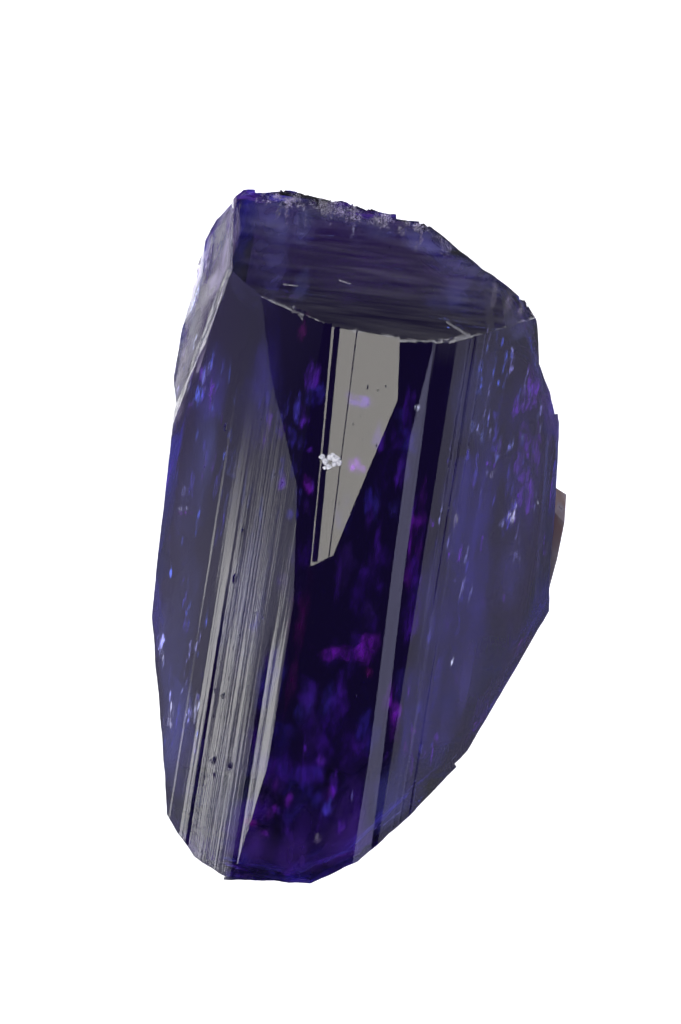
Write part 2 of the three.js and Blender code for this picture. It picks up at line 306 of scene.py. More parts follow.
NOTCHES = (
    Notch("mirror_facet", (
        Cut("mirror", (-0.1, 3.05, 14.007), (-0.0685, 0.0287, 1.0)),
        Cut("mirror_wall", (0.62, 8.1, 14.0), (-0.9925, -0.122, 0)),
        Cut("mirror_tip", (-1.61, -1.28, 14.0), (-0.573, 0.819, 0)),
        Cut("mirror_left", (-2.38, 4.1, 14.0), (0.9976, 0.0698, 0)),
    )),
    Notch("dark_facet", (
        Cut("dark", (-6.18, 10.46, 12.57), (-0.2876, 0.0509, 1.0)),
        Cut("dark_wall", (-2.36, 4.1, 14.0), (-0.9976, -0.0698, 0)),
    )),
    Notch("dark_trench", (
        Cut("trench", (-2.3, -1.3, 14.035), (0.0, 0.05, 1.0)),
        Cut("trench_wall", (-2.36, 4.1, 14.0), (-0.9976, -0.0698, 0)),
    )),
    Notch("left_ledge_high", (
        Cut("flank", (-7.75, 11.5, 11.53), (-0.969, 0.191, 0.156), Relief.SHARDS, 0.05, 0.25),
        Cut("flank_low", (-7.75, 11.5, 11.53), (-0.985, -0.03, 0.139), Relief.CLEAVED, 0.012, 0.1),
        Cut("ledge", (-8.2, 11.6, 8.6), (-0.7, 0.15, 0.7), Relief.CLEAVED, 0.06, 0.6),
    )),
    Notch("left_ledge_low", (
        Cut("flank", (-9.0, 11.6, 8.4), (-0.969, 0.2, 0.17), Relief.SHARDS, 0.06, 0.5),
        Cut("flank_low", (-9.1, 11.6, 8.4), (-0.985, -0.03, 0.17), Relief.SHARDS, 0.05, 0.3),
        Cut("ledge", (-8.9, 11.6, 6.0), (-0.75, 0.15, 0.64), Relief.CLEAVED, 0.06, 0.6),
    )),
    Notch("left_foot", (
        Cut("wall", (-9.28, 1.5, 9.5), (-0.998, -0.05, -0.03), Relief.CLEAVED, 0.05, 0.35),
        Cut("roof", (-9.3, 4.3, 9.5), (-0.965, -0.261, -0.02), Relief.CLEAVED, 0.03, 0.6),
    )),
    Notch("right_hollow", (
        Cut("wall", (6.9, 10.1, 12.0), (0.974, 0.225, -0.06), Relief.CLEAVED, 0.05, 0.6),
        Cut("floor", (7.3, 9.0, 12.0), (0.842, 0.54, -0.06), Relief.CLEAVED, 0.05, 0.6),
    )),
    Notch("left_cleavage", (
        Cut("wall", (-7.7, -6.0, 4.6), (-1, 0.03, 0.06), Relief.CLEAVED, 0.05, 0.4),
        Cut("roof", (-8.6, -6.0, 3.6), (0.2, 0.06, -0.98), Relief.CLEAVED, 0.05, 0.8),
        Cut("end", (-8.6, -0.6, 6.0), (-0.35, -0.93, -0.1), Relief.HACKLY, 0.06, 1.0),
    )),
    Notch("right_cleavage", (
        Cut("wall", (6.1, -7.0, 6.0), (0.99, -0.1, -0.1), Relief.CLEAVED, 0.05, 0.4),
        Cut("roof", (6.7, -7.0, 5.2), (0.2, -0.1, -0.97), Relief.CLEAVED, 0.05, 0.8),
        Cut("end", (7.0, -3.4, 6.0), (0.5, -0.85, 0.15), Relief.HACKLY, 0.06, 1.0),
    )),
    Notch("right_step", (
        Cut("wall", (7.0, 9.4, 8.0), (0.97, 0.2, -0.1), Relief.CLEAVED, 0.05, 0.5),
        Cut("roof", (7.0, 9.4, 8.6), (0.2, 0.25, -0.95), Relief.CLEAVED, 0.05, 0.8),
        Cut("end", (7.4, 6.4, 5.0), (0.3, 0.95, 0.1), Relief.HACKLY, 0.06, 1.0),
    )),
)

GROOVES = (
    Groove((-2.51, 9.9, 13.605), (-1.82, -1.3, 13.98), 0.27, 3.5),
    Groove((-1.57, 9.9, 13.675), (-1.2, -1.3, 14.025), 0.05, 3.5),
    Groove((4.58, 10.5, 13.19), (4.07, 12.75, 11.25), 0.36, -3.0),
    Groove((5.55, 10.8, 13.0), (5.05, 12.6, 11.45), 0.6, -3.0),
)

WORN_EDGES = (
    WornEdge((-6.2, 10.46, 12.57), (-4.7, 10.05, 13.0), (-0.33, 0.72, 2.0), 0.012),
    WornEdge((-4.75, 10.06, 13.0), (-4.1, 9.95, 13.2), (-0.33, 0.8, 1.9), 0.1),
    WornEdge((-4.15, 9.95, 13.2), (-2.76, 9.58, 13.62), (-0.33, 0.75, 2.0), 0.02),
    WornEdge((-2.76, 9.55, 13.631), (0.44, 9.55, 13.86), (-0.13, 0.72, 2.0), 0.022),
    WornEdge((0.44, 9.42, 13.98), (1.8, 9.6, 13.91), (-0.01, 0.72, 2.0), 0.02),
    WornEdge((1.8, 9.6, 13.91), (2.4, 9.795, 13.78), (0.1, 0.7, 2.0), 0.03),
    WornEdge((2.4, 9.795, 13.78), (4.4, 10.41, 13.37), (0.1, 0.72, 2.0), 0.03),
    WornEdge((4.4, 10.41, 13.37), (7.2, 11.88, 12.24), (0.35, 0.72, 1.9), 0.022),
    WornEdge((2.49, 10.7, 12.97), (3.46, 10.25, 13.44), (-0.05, 0.72, 2.0), 0.0, 0.13),
    WornEdge((-2.75, 11.85, 11.56), (-2.2, 11.75, 11.69), (-0.05, 0.72, 2.0), 0.0, 0.05),
    WornEdge((-5.3, 11.2, 11.96), (-4.6, 11.25, 11.96), (-0.05, 0.72, 2.0), 0.0, 0.03),
)

NICK_ROWS = (
    NickRow((-7.4, 15.85, 6.5), (-4.4, 15.85, 6.8), 9, (0.22, 0.16, 3.2)),
    NickRow((-4.4, 15.85, 6.8), (-0.6, 15.55, 7.3), 16, (0.2, 0.2, 3.2)),
    NickRow((-0.6, 15.55, 7.3), (2.4, 15.0, 7.9), 14, (0.2, 0.2, 3.2)),
    NickRow((2.4, 14.9, 8.0), (5.2, 13.0, 9.8), 12, (0.22, 0.14, 3.2)),
    NickRow((5.2, 13.0, 9.8), (6.9, 11.1, 11.1), 8, (0.22, 0.12, 3.2)),
    NickRow((-9.0, 14.0, 5.2), (-9.7, 10.6, 4.4), 16, (0.26, 0.09, 3.2)),
    NickRow((-9.75, 10.4, 4.4), (-9.8, 5.6, 4.6), 14, (0.3, 0.08, 3.2)),
)

SPECK_FIELDS = (
    SpeckField((-6.2, 0.0, 12.57), (-0.388, 0.0, 0.922), (-5.6, -14.5), (-4.7, -1.0), 34, 0.05),
    SpeckField((-6.2, 0.0, 12.57), (-0.388, 0.0, 0.922), (-5.4, -12.0), (-3.2, 1.0), 16, 0.035),
    SpeckField((-6.2, 0.0, 12.57), (-0.388, 0.0, 0.922), (-5.9, 1.0), (-4.3, 8.5), 16, 0.03),
    SpeckField((-0.1, 3.05, 14.007), (-0.0685, 0.0287, 1.0), (-0.9, 3.0), (0.35, 9.2), 9, 0.04),
    SpeckField((-0.1, 3.05, 14.007), (-0.0685, 0.0287, 1.0), (-1.5, 0.5), (-0.9, 6.0), 4, 0.035),
    SpeckField((1.8, 0.0, 13.91), (0.0512, 0.0, 1.0), (-1.5, -14.0), (1.3, -2.0), 9, 0.03),
    SpeckField((3.1, 0.0, 13.72), (0.26, 0.0, 0.966), (3.2, -10.0), (4.3, 8.0), 8, 0.03),
    SpeckField((0.0, 9.4, 13.965), (-0.071, 0.9, 1.0), (-5.0, 10.5), (5.0, 14.0), 18, 0.035),
)

CORNER_RUNS = {
    "ribbon": (
        (-18.0, 2.1, 13.895), (-9.5, 2.07, 13.896), (-1.2, 1.78, 13.911), (5.0, 1.62, 13.919), (9.2, 2.0, 13.9),
    ),
    "dark_strip": (
        (-18.0, 2.95, 13.71), (-9.5, 2.69, 13.76), (-1.2, 2.34, 13.79), (5.0, 2.2, 13.793), (9.2, 2.06, 13.887),
    ),
}

CHIPS = (
    Chip("left_nick_1", (-10.2, 13.6, 5.0), (1.5, 1.0, 7.8), 24, 2),
    Chip("left_nick_2", (-10.45, 11.2, 4.6), (1.2, 1.3, 7.8), 18, -2),
    Chip("left_nick_3", (-10.6, 8.4, 5.0), (1.2, 1.8, 7.4), 8, 2),
    Chip("top_edge_1", (-6.9, 16.0, 6.6), (1.2, 0.9, 6.2), 12, 2),
    Chip("top_edge_2", (-4.6, 16.15, 6.6), (1.6, 0.9, 6.2), -5, 2),
    Chip("top_edge_3", (-2.2, 16.05, 6.7), (0.9, 1.1, 6.6), -18, -2),
    Chip("top_edge_4", (0.1, 15.7, 6.6), (1.5, 0.9, 7.0), 2, 2),
    Chip("top_edge_5", (2.95, 14.75, 7.4), (1.1, 0.9, 7.0), -44, -2),
    Chip("top_edge_6", (4.75, 13.6, 7.9), (1.2, 0.9, 7.4), -20, 2),
    Chip("right_shoulder", (8.75, 8.15, 9.4), (1.6, 1.3, 8.2), 20, -2),
    Chip("right_notch", (9.0, 5.5, 8.9), (0.6, 1.6, 6.8), -6, 2),
    Chip("bottom_step_1", (-6.3, -15.5, 9.2), (0.9, 1.1, 8.6), -50, 1),
    Chip("bottom_step_2", (-4.5, -16.7, 9.7), (1.2, 1.3, 10.0), -20, 1),
    Chip("bottom_step_3", (-3.3, -17.1, 9.7), (0.8, 1.2, 9.6), 12, -1),
    Chip("bottom_step_4", (0.6, -16.3, 9.7), (1.3, 0.6, 9.2), 14, -1),
    Chip("lower_tip", (-3.0, -16.5, 14.6), (0.7, 1.5, 1.4), -24, 12),
    Chip("lower_right_step", (6.9, -9.0, 9.2), (1.8, 0.6, 9.8), 52, -1),
)

SHELLS = (
    Shell("top_end_shell", (-3.6, 24.3, 2.2), (9.9, 10.8, 8.6)),
    Shell("top_end_shell_right", (8.6, 20.0, 2.6), (10.4, 10.4, 8.8)),
    Shell("left_trough", (-13.2, 2.5, 5.2), (4.9, 12.5, 4.4)),
    Shell("right_trough", (12.1, 7.6, 4.6), (4.6, 9.5, 4.2)),
    Shell("bottom_shell", (-2.5, -24.3, 3.5), (8.6, 10.5, 9.0)),
    Shell("bottom_shell_left", (-10.0, -19.8, 5.2), (8.2, 8.4, 7.6)),
    Shell("bottom_shell_right", (7.8, -18.3, 4.6), (8.8, 8.8, 8.2)),
)

PITS = (
    Pit((-5.35, -0.38, 12.93), 0.2),
    Pit((-5.37, -2.64, 12.92), 0.22),
    Pit((-5.47, -7.93, 12.88), 0.15),
    Pit((-5.3, -9.1, 12.95), 0.14),
    Pit((-4.97, -11.14, 13.09), 0.17),
    Pit((-4.2, -11.26, 13.41), 0.15),
    Pit((-6.9, 4.2, 12.1), 0.14),
)

PLATE_OUTLINE = (
    (6.4, 4.0),
    (8.8, 3.95),
    (9.5, 3.65),
    (9.62, 2.3),
    (9.55, 0.6),
    (9.3, -1.8),
    (8.3, -2.8),
    (6.4, -3.0),
)

PLATE_CUTS = (
    Cut("plate_top", (9.3, 3.0, 9.0), (0.4, 0.55, 0.73), Relief.HACKLY, 0.04, 1.0),
    Cut("plate_rim", (9.45, -1.2, 9.0), (0.5, -0.3, 0.8), Relief.HACKLY, 0.04, 1.0),
    Cut("plate_under", (9.3, 0.2, 5.9), (0.45, -0.35, -0.82), Relief.HACKLY, 0.04, 1.0),
)


@dataclass(frozen=True)
class Grain:
    """A small grain of white mineral."""

    at: Point
    radius: float


@dataclass(frozen=True)
class Veil:
    """A thin inner flaw seen through a front face, placed by where it shows from above. It glows by itself: its glow is
    painted light, the flash that a real flaw catches from the lamps.
    """

    at: Pair
    depth: float
    width: float
    length: float
    colour: Colour
    # strength of the flaw's own glow: painted light in place of the light it would catch
    glow: float
    cover: float


@dataclass(frozen=True)
class Swarm:
    """Many small flaws scattered below a part of the front, each glowing with painted light. Pairs are a smallest and a
    largest value.
    """

    low: Pair
    high: Pair
    count: int
    depth: Pair
    width: Pair
    length: Pair
    colours: tuple[Colour, ...]
    glow: Pair
    cover: Pair


@dataclass(frozen=True)
class Skin:
    """A count of flaws just below each of some sides, each glowing with painted light. Pairs are a smallest and a
    largest value.
    """

    sides: dict[str, int]
    depth: Pair
    width: Pair
    length: Pair
    colours: tuple[Colour, ...]
    glow: Pair
    cover: Pair


GRAINS = (
    Grain((-2.26, 3.55, 13.89), 0.13),
    Grain((-2.04, 3.35, 13.9), 0.15),
    Grain((-1.84, 3.57, 13.92), 0.16),
    Grain((-1.6, 3.56, 13.94), 0.19),
    Grain((-1.43, 3.4, 13.95), 0.16),
    Grain((-1.66, 3.31, 13.94), 0.13),
    Grain((-1.86, 3.14, 13.93), 0.14),
    Grain((-2.04, 3.07, 13.92), 0.11),
    Grain((-1.77, 3.72, 13.92), 0.1),
)

LAVENDER = (0.42, 0.47, 1.0)
PALE = (0.72, 0.78, 1.0)
BLUE = (0.12, 0.2, 0.9)
INDIGO = (0.08, 0.07, 0.55)
VIOLET = (0.16, 0.03, 0.6)
PURPLE = (0.26, 0.02, 0.55)
MAGENTA = (0.4, 0.01, 0.32)
SLATE = (0.1, 0.14, 0.42)
DARK_VIOLET = (0.09, 0.035, 0.3)
DARK_SLATE = (0.09, 0.1, 0.3)
GREY = (0.45, 0.45, 0.5)
LILAC = (0.62, 0.58, 0.78)
DEEP_BLUE = (0.05, 0.06, 0.5)

# Flaws just below the front: their own glow paints the blue, violet and pale flashes.
SURFACE_VEILS = (
    Veil((-8.2, 6.6), 0.5, 0.5, 1.6, LAVENDER, 0.45, 0.8),
    Veil((-8.1, 7.0), 0.5, 0.25, 1.4, BLUE, 0.8, 0.8),
    Veil((-8.45, 5.6), 0.6, 0.5, 1.4, BLUE, 0.6, 0.8),
    Veil((-7.9, 5.9), 0.5, 0.4, 2.0, VIOLET, 0.6, 0.75),
    Veil((-8.7, 4.8), 0.5, 0.3, 0.7, VIOLET, 0.4, 0.6),
    Veil((-8.27, 0.2), 0.4, 0.7, 0.4, PALE, 0.35, 0.8),
    Veil((-8.1, 0.0), 0.4, 0.8, 0.22, PURPLE, 0.35, 0.7),
    Veil((-8.4, 0.9), 0.5, 0.25, 0.7, LAVENDER, 0.25, 0.6),
    Veil((-8.43, -2.65), 0.4, 0.16, 1.1, BLUE, 0.9, 0.9),
    Veil((-7.8, -3.4), 0.5, 0.14, 1.0, LAVENDER, 0.25, 0.6),
    Veil((-7.3, -5.0), 0.6, 0.5, 1.1, INDIGO, 0.5, 0.6),
    Veil((-8.35, -6.2), 0.4, 0.5, 1.1, LAVENDER, 1.1, 0.95),
    Veil((-8.2, -6.6), 0.4, 0.3, 1.0, PALE, 0.8, 0.9),
    Veil((-7.55, -8.6), 0.4, 0.2, 1.4, LAVENDER, 0.7, 0.9),
    Veil((-7.35, -9.7), 0.4, 0.3, 1.8, PALE, 0.7, 0.9),
    Veil((-7.0, -9.0), 0.4, 0.16, 0.9, BLUE, 0.6, 0.8),
    Veil((-6.55, -9.2), 0.4, 0.45, 1.0, LAVENDER, 0.6, 0.85),
    Veil((-6.2, -9.0), 0.35, 0.35, 1.5, PALE, 0.45, 0.8),
    Veil((-6.6, -9.9), 0.45, 1.2, 1.6, INDIGO, 0.4, 0.5),
    Veil((-5.95, -9.9), 0.35, 0.16, 1.0, BLUE, 0.6, 0.8),
    Veil((-4.65, -6.3), 0.3, 0.25, 0.9, GREY, 0.25, 0.6),
    Veil((-4.97, 4.6), 0.4, 0.3, 3.0, VIOLET, 0.25, 0.5),
    Veil((-7.65, 2.8), 0.6, 0.6, 1.6, INDIGO, 0.35, 0.5),
    Veil((-6.3, 2.0), 0.7, 0.8, 3.4, SLATE, 0.3, 0.4),
    Veil((1.76, 6.45), 0.12, 0.4, 0.42, PALE, 0.8, 0.8),
    Veil((1.9, 6.1), 0.15, 0.25, 0.5, BLUE, 0.7, 0.7),
    Veil((4.31, 8.78), 0.5, 0.22, 1.5, BLUE, 0.35, 0.7),
    Veil((4.45, 8.0), 0.5, 0.2, 1.0, BLUE, 0.4, 0.7),
    Veil((4.91, 7.37), 0.5, 0.1, 2.6, LAVENDER, 0.25, 0.65),
    Veil((5.44, 9.34), 0.5, 0.24, 1.9, BLUE, 0.4, 0.7),
    Veil((5.3, 8.2), 0.45, 0.2, 0.6, BLUE, 0.6, 0.8),
    Veil((4.71, 5.92), 0.35, 0.2, 0.75, LAVENDER, 0.7, 0.85),
    Veil((3.48, 4.79), 0.35, 0.16, 0.7, LAVENDER, 0.35, 0.75),
    Veil((4.34, 4.69), 0.4, 0.25, 0.9, INDIGO, 0.6, 0.7),
    Veil((5.55, 6.3), 0.8, 0.55, 3.2, INDIGO, 0.45, 0.5),
    Veil((5.5, 4.45), 0.5, 0.35, 0.5, VIOLET, 0.7, 0.75),
    Veil((5.7, 4.0), 0.5, 0.3, 0.5, PALE, 0.3, 0.7),
    Veil((4.9, 3.5), 0.6, 0.4, 1.5, INDIGO, 0.35, 0.5),
    Veil((6.92, 2.41), 0.4, 0.34, 1.1, PALE, 0.55, 0.8),
    Veil((6.85, 2.1), 0.5, 0.5, 2.0, INDIGO, 0.6, 0.6),
    Veil((3.58, 1.74), 0.3, 0.12, 1.1, LAVENDER, 0.45, 0.75),
    Veil((4.31, 1.62), 0.3, 0.16, 1.0, GREY, 0.4, 0.7),
    Veil((3.2, 1.4), 0.4, 0.4, 0.6, VIOLET, 0.5, 0.7),
    Veil((5.2, -4.87), 0.2, 0.26, 0.8, PALE, 2.2, 1.0),
    Veil((4.5, -4.9), 0.4, 0.2, 0.35, INDIGO, 0.6, 0.7),
    Veil((8.0, 3.06), 0.15, 0.2, 0.25, PALE, 0.9, 0.9),
    Veil((6.8, 8.1), 0.7, 1.2, 2.4, VIOLET, 0.22, 0.45),
    Veil((6.9, 5.2), 0.7, 0.9, 2.6, VIOLET, 0.22, 0.45),
    Veil((7.4, 0.4), 0.6, 0.5, 0.8, LAVENDER, 0.2, 0.5),
    Veil((3.9, -8.6), 0.4, 0.3, 0.8, PURPLE, 0.5, 0.7),
    Veil((3.7, -9.2), 0.4, 0.25, 0.5, PURPLE, 0.5, 0.7),
    Veil((3.06, 10.42), 0.1, 1.1, 0.2, BLUE, 0.8, 0.9),
)

# Deep sheets whose violet, purple and magenta glow is painted light, for the colour flashes deep in the stone.
DEEP_VEILS = (
    Veil((-4.19, 9.22), 1.6, 0.5, 1.2, MAGENTA, 0.25, 0.7),
    Veil((-3.54, 5.1), 1.2, 0.5, 1.5, VIOLET, 0.9, 0.8),
    Veil((-3.09, 3.75), 1.2, 0.5, 0.5, VIOLET, 1.0, 0.8),
    Veil((-2.95, 2.24), 1.4, 0.8, 1.3, PURPLE, 1.2, 0.85),
    Veil((-3.3, 6.4), 2.0, 1.0, 1.6, INDIGO, 0.7, 0.6),
    Veil((-0.6, -5.45), 2.0, 1.5, 0.8, PURPLE, 0.6, 0.7),
    Veil((0.4, -5.3), 2.2, 1.6, 0.7, PURPLE, 0.45, 0.65),
    Veil((1.3, -5.0), 1.8, 1.0, 1.5, PURPLE, 0.6, 0.75),
    Veil((1.5, -6.0), 1.8, 0.4, 0.6, MAGENTA, 0.6, 0.7),
    Veil((-0.6, 6.4), 1.2, 2.0, 0.8, VIOLET, 1.2, 0.7),
    Veil((-0.7, 3.4), 1.2, 1.0, 1.0, PURPLE, 1.3, 0.7),
    Veil((-2.06, -13.1), 1.2, 0.5, 1.0, PURPLE, 0.8, 0.75),
    Veil((-2.67, -13.75), 1.2, 0.7, 0.5, MAGENTA, 0.9, 0.8),
    Veil((-2.2, -14.1), 1.4, 0.6, 0.4, PURPLE, 0.9, 0.7),
    Veil((0.66, -11.6), 1.6, 0.4, 1.6, VIOLET, 1.1, 0.75),
    Veil((0.5, -12.6), 1.5, 0.7, 1.0, INDIGO, 1.3, 0.75),
    Veil((1.25, -13.4), 1.0, 0.6, 1.1, VIOLET, 1.3, 0.85),
    Veil((1.6, -11.8), 1.0, 0.12, 0.6, LAVENDER, 0.7, 0.7),
    Veil((0.33, -13.98), 0.6, 0.4, 0.7, GREY, 0.18, 0.6),
    Veil((0.0, -9.0), 3.5, 2.4, 3.0, VIOLET, 0.5, 0.5),
    Veil((1.0, -2.5), 3.0, 1.6, 4.0, VIOLET, 0.35, 0.45),
    Veil((-2.0, -5.0), 2.2, 0.6, 9.0, MAGENTA, 0.12, 0.6),
    Veil((0.9, 3.0), 3.0, 1.0, 4.0, VIOLET, 0.5, 0.5),
    Veil((3.0, -3.0), 2.0, 0.8, 5.0, VIOLET, 0.5, 0.5),
    Veil((-0.7, 1.2), 2.6, 1.0, 2.0, INDIGO, 0.4, 0.5),
)

# Small flaws scattered below the front, glowing with painted flashes.
FRONT_SWARMS = (
    Swarm(
        (4.4, 5.0), (7.6, 10.4), 40, (0.3, 0.9), (0.06, 0.22), (0.4, 1.8),
        (BLUE, SLATE, LAVENDER), (0.3, 0.8), (0.3, 0.8),
    ),
    Swarm(
        (5.6, 3.0), (8.0, 9.5), 24, (0.4, 1.0), (0.2, 0.5), (0.8, 2.6),
        (VIOLET, INDIGO), (0.3, 0.6), (0.3, 0.6),
    ),
    Swarm(
        (3.5, -2.0), (8.0, 5.0), 40, (0.3, 0.9), (0.06, 0.25), (0.3, 1.5),
        (INDIGO, VIOLET, LAVENDER), (0.3, 0.7), (0.3, 0.7),
    ),
    Swarm(
        (2.9, -10.5), (6.0, -2.0), 18, (0.4, 1.0), (0.08, 0.3), (0.4, 1.8),
        (INDIGO, VIOLET), (0.3, 0.6), (0.3, 0.6),
    ),
    Swarm(
        (-9.0, 1.5), (-6.6, 8.3), 34, (0.3, 0.8), (0.06, 0.25), (0.4, 1.8),
        (INDIGO, VIOLET, BLUE), (0.3, 0.7), (0.3, 0.7),
    ),
    Swarm(
        (-8.8, -5.0), (-6.3, 1.5), 18, (0.3, 0.8), (0.06, 0.2), (0.3, 1.6),
        (BLUE, INDIGO), (0.3, 0.7), (0.3, 0.7),
    ),
    Swarm(
        (-8.1, -11.2), (-6.0, -5.0), 34, (0.3, 0.7), (0.05, 0.2), (0.3, 1.5),
        (BLUE, LAVENDER, INDIGO), (0.3, 0.9), (0.3, 0.8),
    ),
    Swarm(
        (-5.9, -6.0), (-3.6, 8.0), 22, (0.3, 0.8), (0.06, 0.3), (0.5, 2.6),
        (SLATE, INDIGO), (0.3, 0.6), (0.25, 0.5),
    ),
    # The swarms from here on lie under the end face and its top rim: their dim indigo glow and grey-lilac glow are
    # painted light where little light comes through the stone.
    Swarm(
        (-5.8, 10.6), (5.5, 14.4), 34, (0.2, 0.8), (0.4, 2.4), (0.05, 0.2),
        (INDIGO, DARK_VIOLET, SLATE), (0.12, 0.35), (0.3, 0.6),
    ),
    Swarm(
        (-6.9, 14.5), (0.4, 15.6), 40, (0.15, 0.5), (0.06, 0.25), (0.6, 1.8),
        (GREY, LILAC, PALE), (0.1, 0.3), (0.3, 0.6),
    ),
    Swarm(
        (0.4, 13.9), (3.4, 14.9), 18, (0.15, 0.5), (0.06, 0.25), (0.5, 1.4),
        (GREY, LILAC), (0.1, 0.3), (0.3, 0.6),
    ),
    Swarm(
        (-7.2, 15.0), (-1.0, 15.7), 34, (0.08, 0.3), (0.4, 1.1), (0.4, 0.9),
        (GREY, LILAC), (0.12, 0.3), (0.6, 0.95),
    ),
    Swarm(
        (-1.0, 14.6), (2.6, 15.3), 20, (0.08, 0.3), (0.4, 1.0), (0.4, 0.9),
        (GREY, LILAC), (0.1, 0.25), (0.5, 0.9),
    ),
)

# Deep small flaws with a violet and indigo painted glow.
DEEP_SWARMS = (
    Swarm(
        (-3.6, -15.4), (1.9, -7.0), 34, (1.2, 3.0), (0.6, 2.0), (1.4, 4.0),
        (DARK_VIOLET, INDIGO, VIOLET), (0.25, 0.5), (0.3, 0.5),
    ),
    Swarm(
        (-2.6, -14.0), (1.9, -10.0), 12, (0.9, 1.6), (0.15, 0.5), (0.4, 1.4),
        (VIOLET, BLUE, PURPLE), (0.5, 1.0), (0.4, 0.7),
    ),
    Swarm(
        (-3.4, -7.0), (1.9, 0.0), 14, (1.4, 3.0), (0.3, 1.0), (0.8, 3.0),
        (VIOLET, DARK_VIOLET), (0.2, 0.4), (0.2, 0.4),
    ),
    Swarm(
        (-4.4, 0.5), (-2.6, 8.5), 16, (0.8, 1.8), (0.2, 0.6), (0.6, 1.6),
        (VIOLET, INDIGO), (0.3, 0.8), (0.3, 0.6),
    ),
    Swarm(
        (0.2, 0.0), (1.6, 6.5), 16, (1.0, 2.4), (0.3, 0.8), (0.8, 2.4),
        (VIOLET, INDIGO), (0.3, 0.7), (0.3, 0.6),
    ),
    Swarm(
        (2.2, -9.0), (3.1, 3.0), 18, (0.8, 2.0), (0.2, 0.6), (0.8, 2.6),
        (VIOLET, PURPLE), (0.3, 0.7), (0.3, 0.6),
    ),
)

# Sheets under both ends. The dark, nearly opaque ones paint shade over the glow of sheets behind them and give the ends
# a dim painted glow.
END_VEILS = (
    Veil((-6.9, 12.3), 0.9, 3.4, 5.4, DARK_SLATE, 0.2, 0.97),
    Veil((-5.8, 14.2), 0.7, 4.4, 3.2, DARK_SLATE, 0.24, 0.97),
    Veil((-4.48, 11.2), 0.6, 0.7, 2.6, SLATE, 0.2, 0.4),
    Veil((-3.0, 14.9), 0.6, 5.4, 2.4, DARK_SLATE, 0.35, 0.95),
    Veil((0.6, 14.6), 0.6, 5.0, 2.2, DARK_SLATE, 0.35, 0.95),
    Veil((3.6, 13.3), 0.7, 4.0, 2.6, DARK_SLATE, 0.35, 0.95),
    Veil((5.8, 11.4), 0.7, 2.6, 2.4, DARK_SLATE, 0.35, 0.95),
    Veil((-1.2, -14.9), 1.2, 4.6, 2.4, DARK_VIOLET, 0.4, 0.97),
    Veil((1.4, -14.2), 1.2, 3.0, 3.0, DARK_VIOLET, 0.4, 0.97),
    Veil((-0.5, -13.6), 3.0, 3.4, 2.2, DARK_VIOLET, 0.35, 0.97),
    Veil((-1.6, -12.6), 3.3, 2.6, 3.0, DARK_VIOLET, 0.3, 0.97),
    Veil((1.2, -12.6), 2.9, 2.6, 3.0, DARK_VIOLET, 0.4, 0.97),
    Veil((-5.2, -12.8), 2.6, 3.0, 2.6, DARK_SLATE, 0.4, 0.95),
    Veil((-6.3, -10.8), 2.4, 2.4, 3.4, DARK_SLATE, 0.4, 0.95),
    Veil((3.6, -11.2), 2.4, 2.2, 3.0, DARK_SLATE, 0.4, 0.95),
    Veil((6.2, -5.2), 2.2, 2.0, 3.6, DARK_SLATE, 0.4, 0.95),
    Veil((7.3, -0.5), 2.0, 1.8, 4.6, DARK_SLATE, 0.4, 0.95),
    Veil((7.4, 4.6), 2.0, 1.8, 4.6, DARK_SLATE, 0.4, 0.95),
    # Grey and lilac sheets under the top rim: painted glow where little light comes through the rim.
    Veil((4.5, 12.2), 0.3, 0.4, 2.0, GREY, 0.3, 0.9),
    Veil((5.2, 12.0), 0.3, 0.5, 1.8, LILAC, 0.14, 0.7),
    Veil((5.8, 11.9), 0.3, 0.35, 1.6, GREY, 0.32, 0.9),
)

# Broad soft sheets just below the front whose glow is painted light, standing in for light passing through the stone.
PAINTED_GLOW_VEILS = (
    Veil((-8.0, 6.4), 1.0, 1.8, 4.4, INDIGO, 0.4, 0.5),
    Veil((-8.0, 1.0), 1.0, 2.4, 7.0, SLATE, 0.45, 0.55),
    Veil((-7.7, -5.0), 0.9, 2.4, 7.0, SLATE, 0.45, 0.55),
    Veil((-6.8, -10.4), 0.9, 2.2, 6.0, SLATE, 0.4, 0.5),
    Veil((-4.2, -12.0), 0.9, 2.6, 5.0, SLATE, 0.25, 0.4),
    Veil((-4.6, -3.0), 1.0, 2.6, 9.0, SLATE, 0.25, 0.4),
    Veil((-5.2, 5.5), 1.1, 2.2, 6.0, INDIGO, 0.3, 0.45),
    Veil((4.4, 7.6), 1.2, 2.4, 5.0, SLATE, 0.35, 0.5),
    Veil((6.6, 7.4), 1.2, 2.4, 4.6, INDIGO, 0.4, 0.5),
    Veil((7.2, 3.2), 1.1, 2.2, 6.0, INDIGO, 0.4, 0.5),
    Veil((5.2, 2.6), 1.1, 2.8, 6.0, INDIGO, 0.35, 0.45),
    Veil((5.4, -2.0), 1.1, 3.6, 7.0, INDIGO, 0.35, 0.45),
    Veil((4.6, -7.5), 1.0, 2.8, 6.0, INDIGO, 0.35, 0.45),
    Veil((3.4, -11.6), 1.0, 1.6, 3.4, SLATE, 0.3, 0.4),
    Veil((7.4, -0.6), 0.9, 1.6, 4.0, INDIGO, 0.35, 0.45),
    Veil((-1.0, 12.4), 1.0, 9.0, 3.4, DARK_VIOLET, 0.12, 0.35),
    Veil((3.6, 11.8), 0.9, 4.0, 2.4, SLATE, 0.3, 0.4),
)
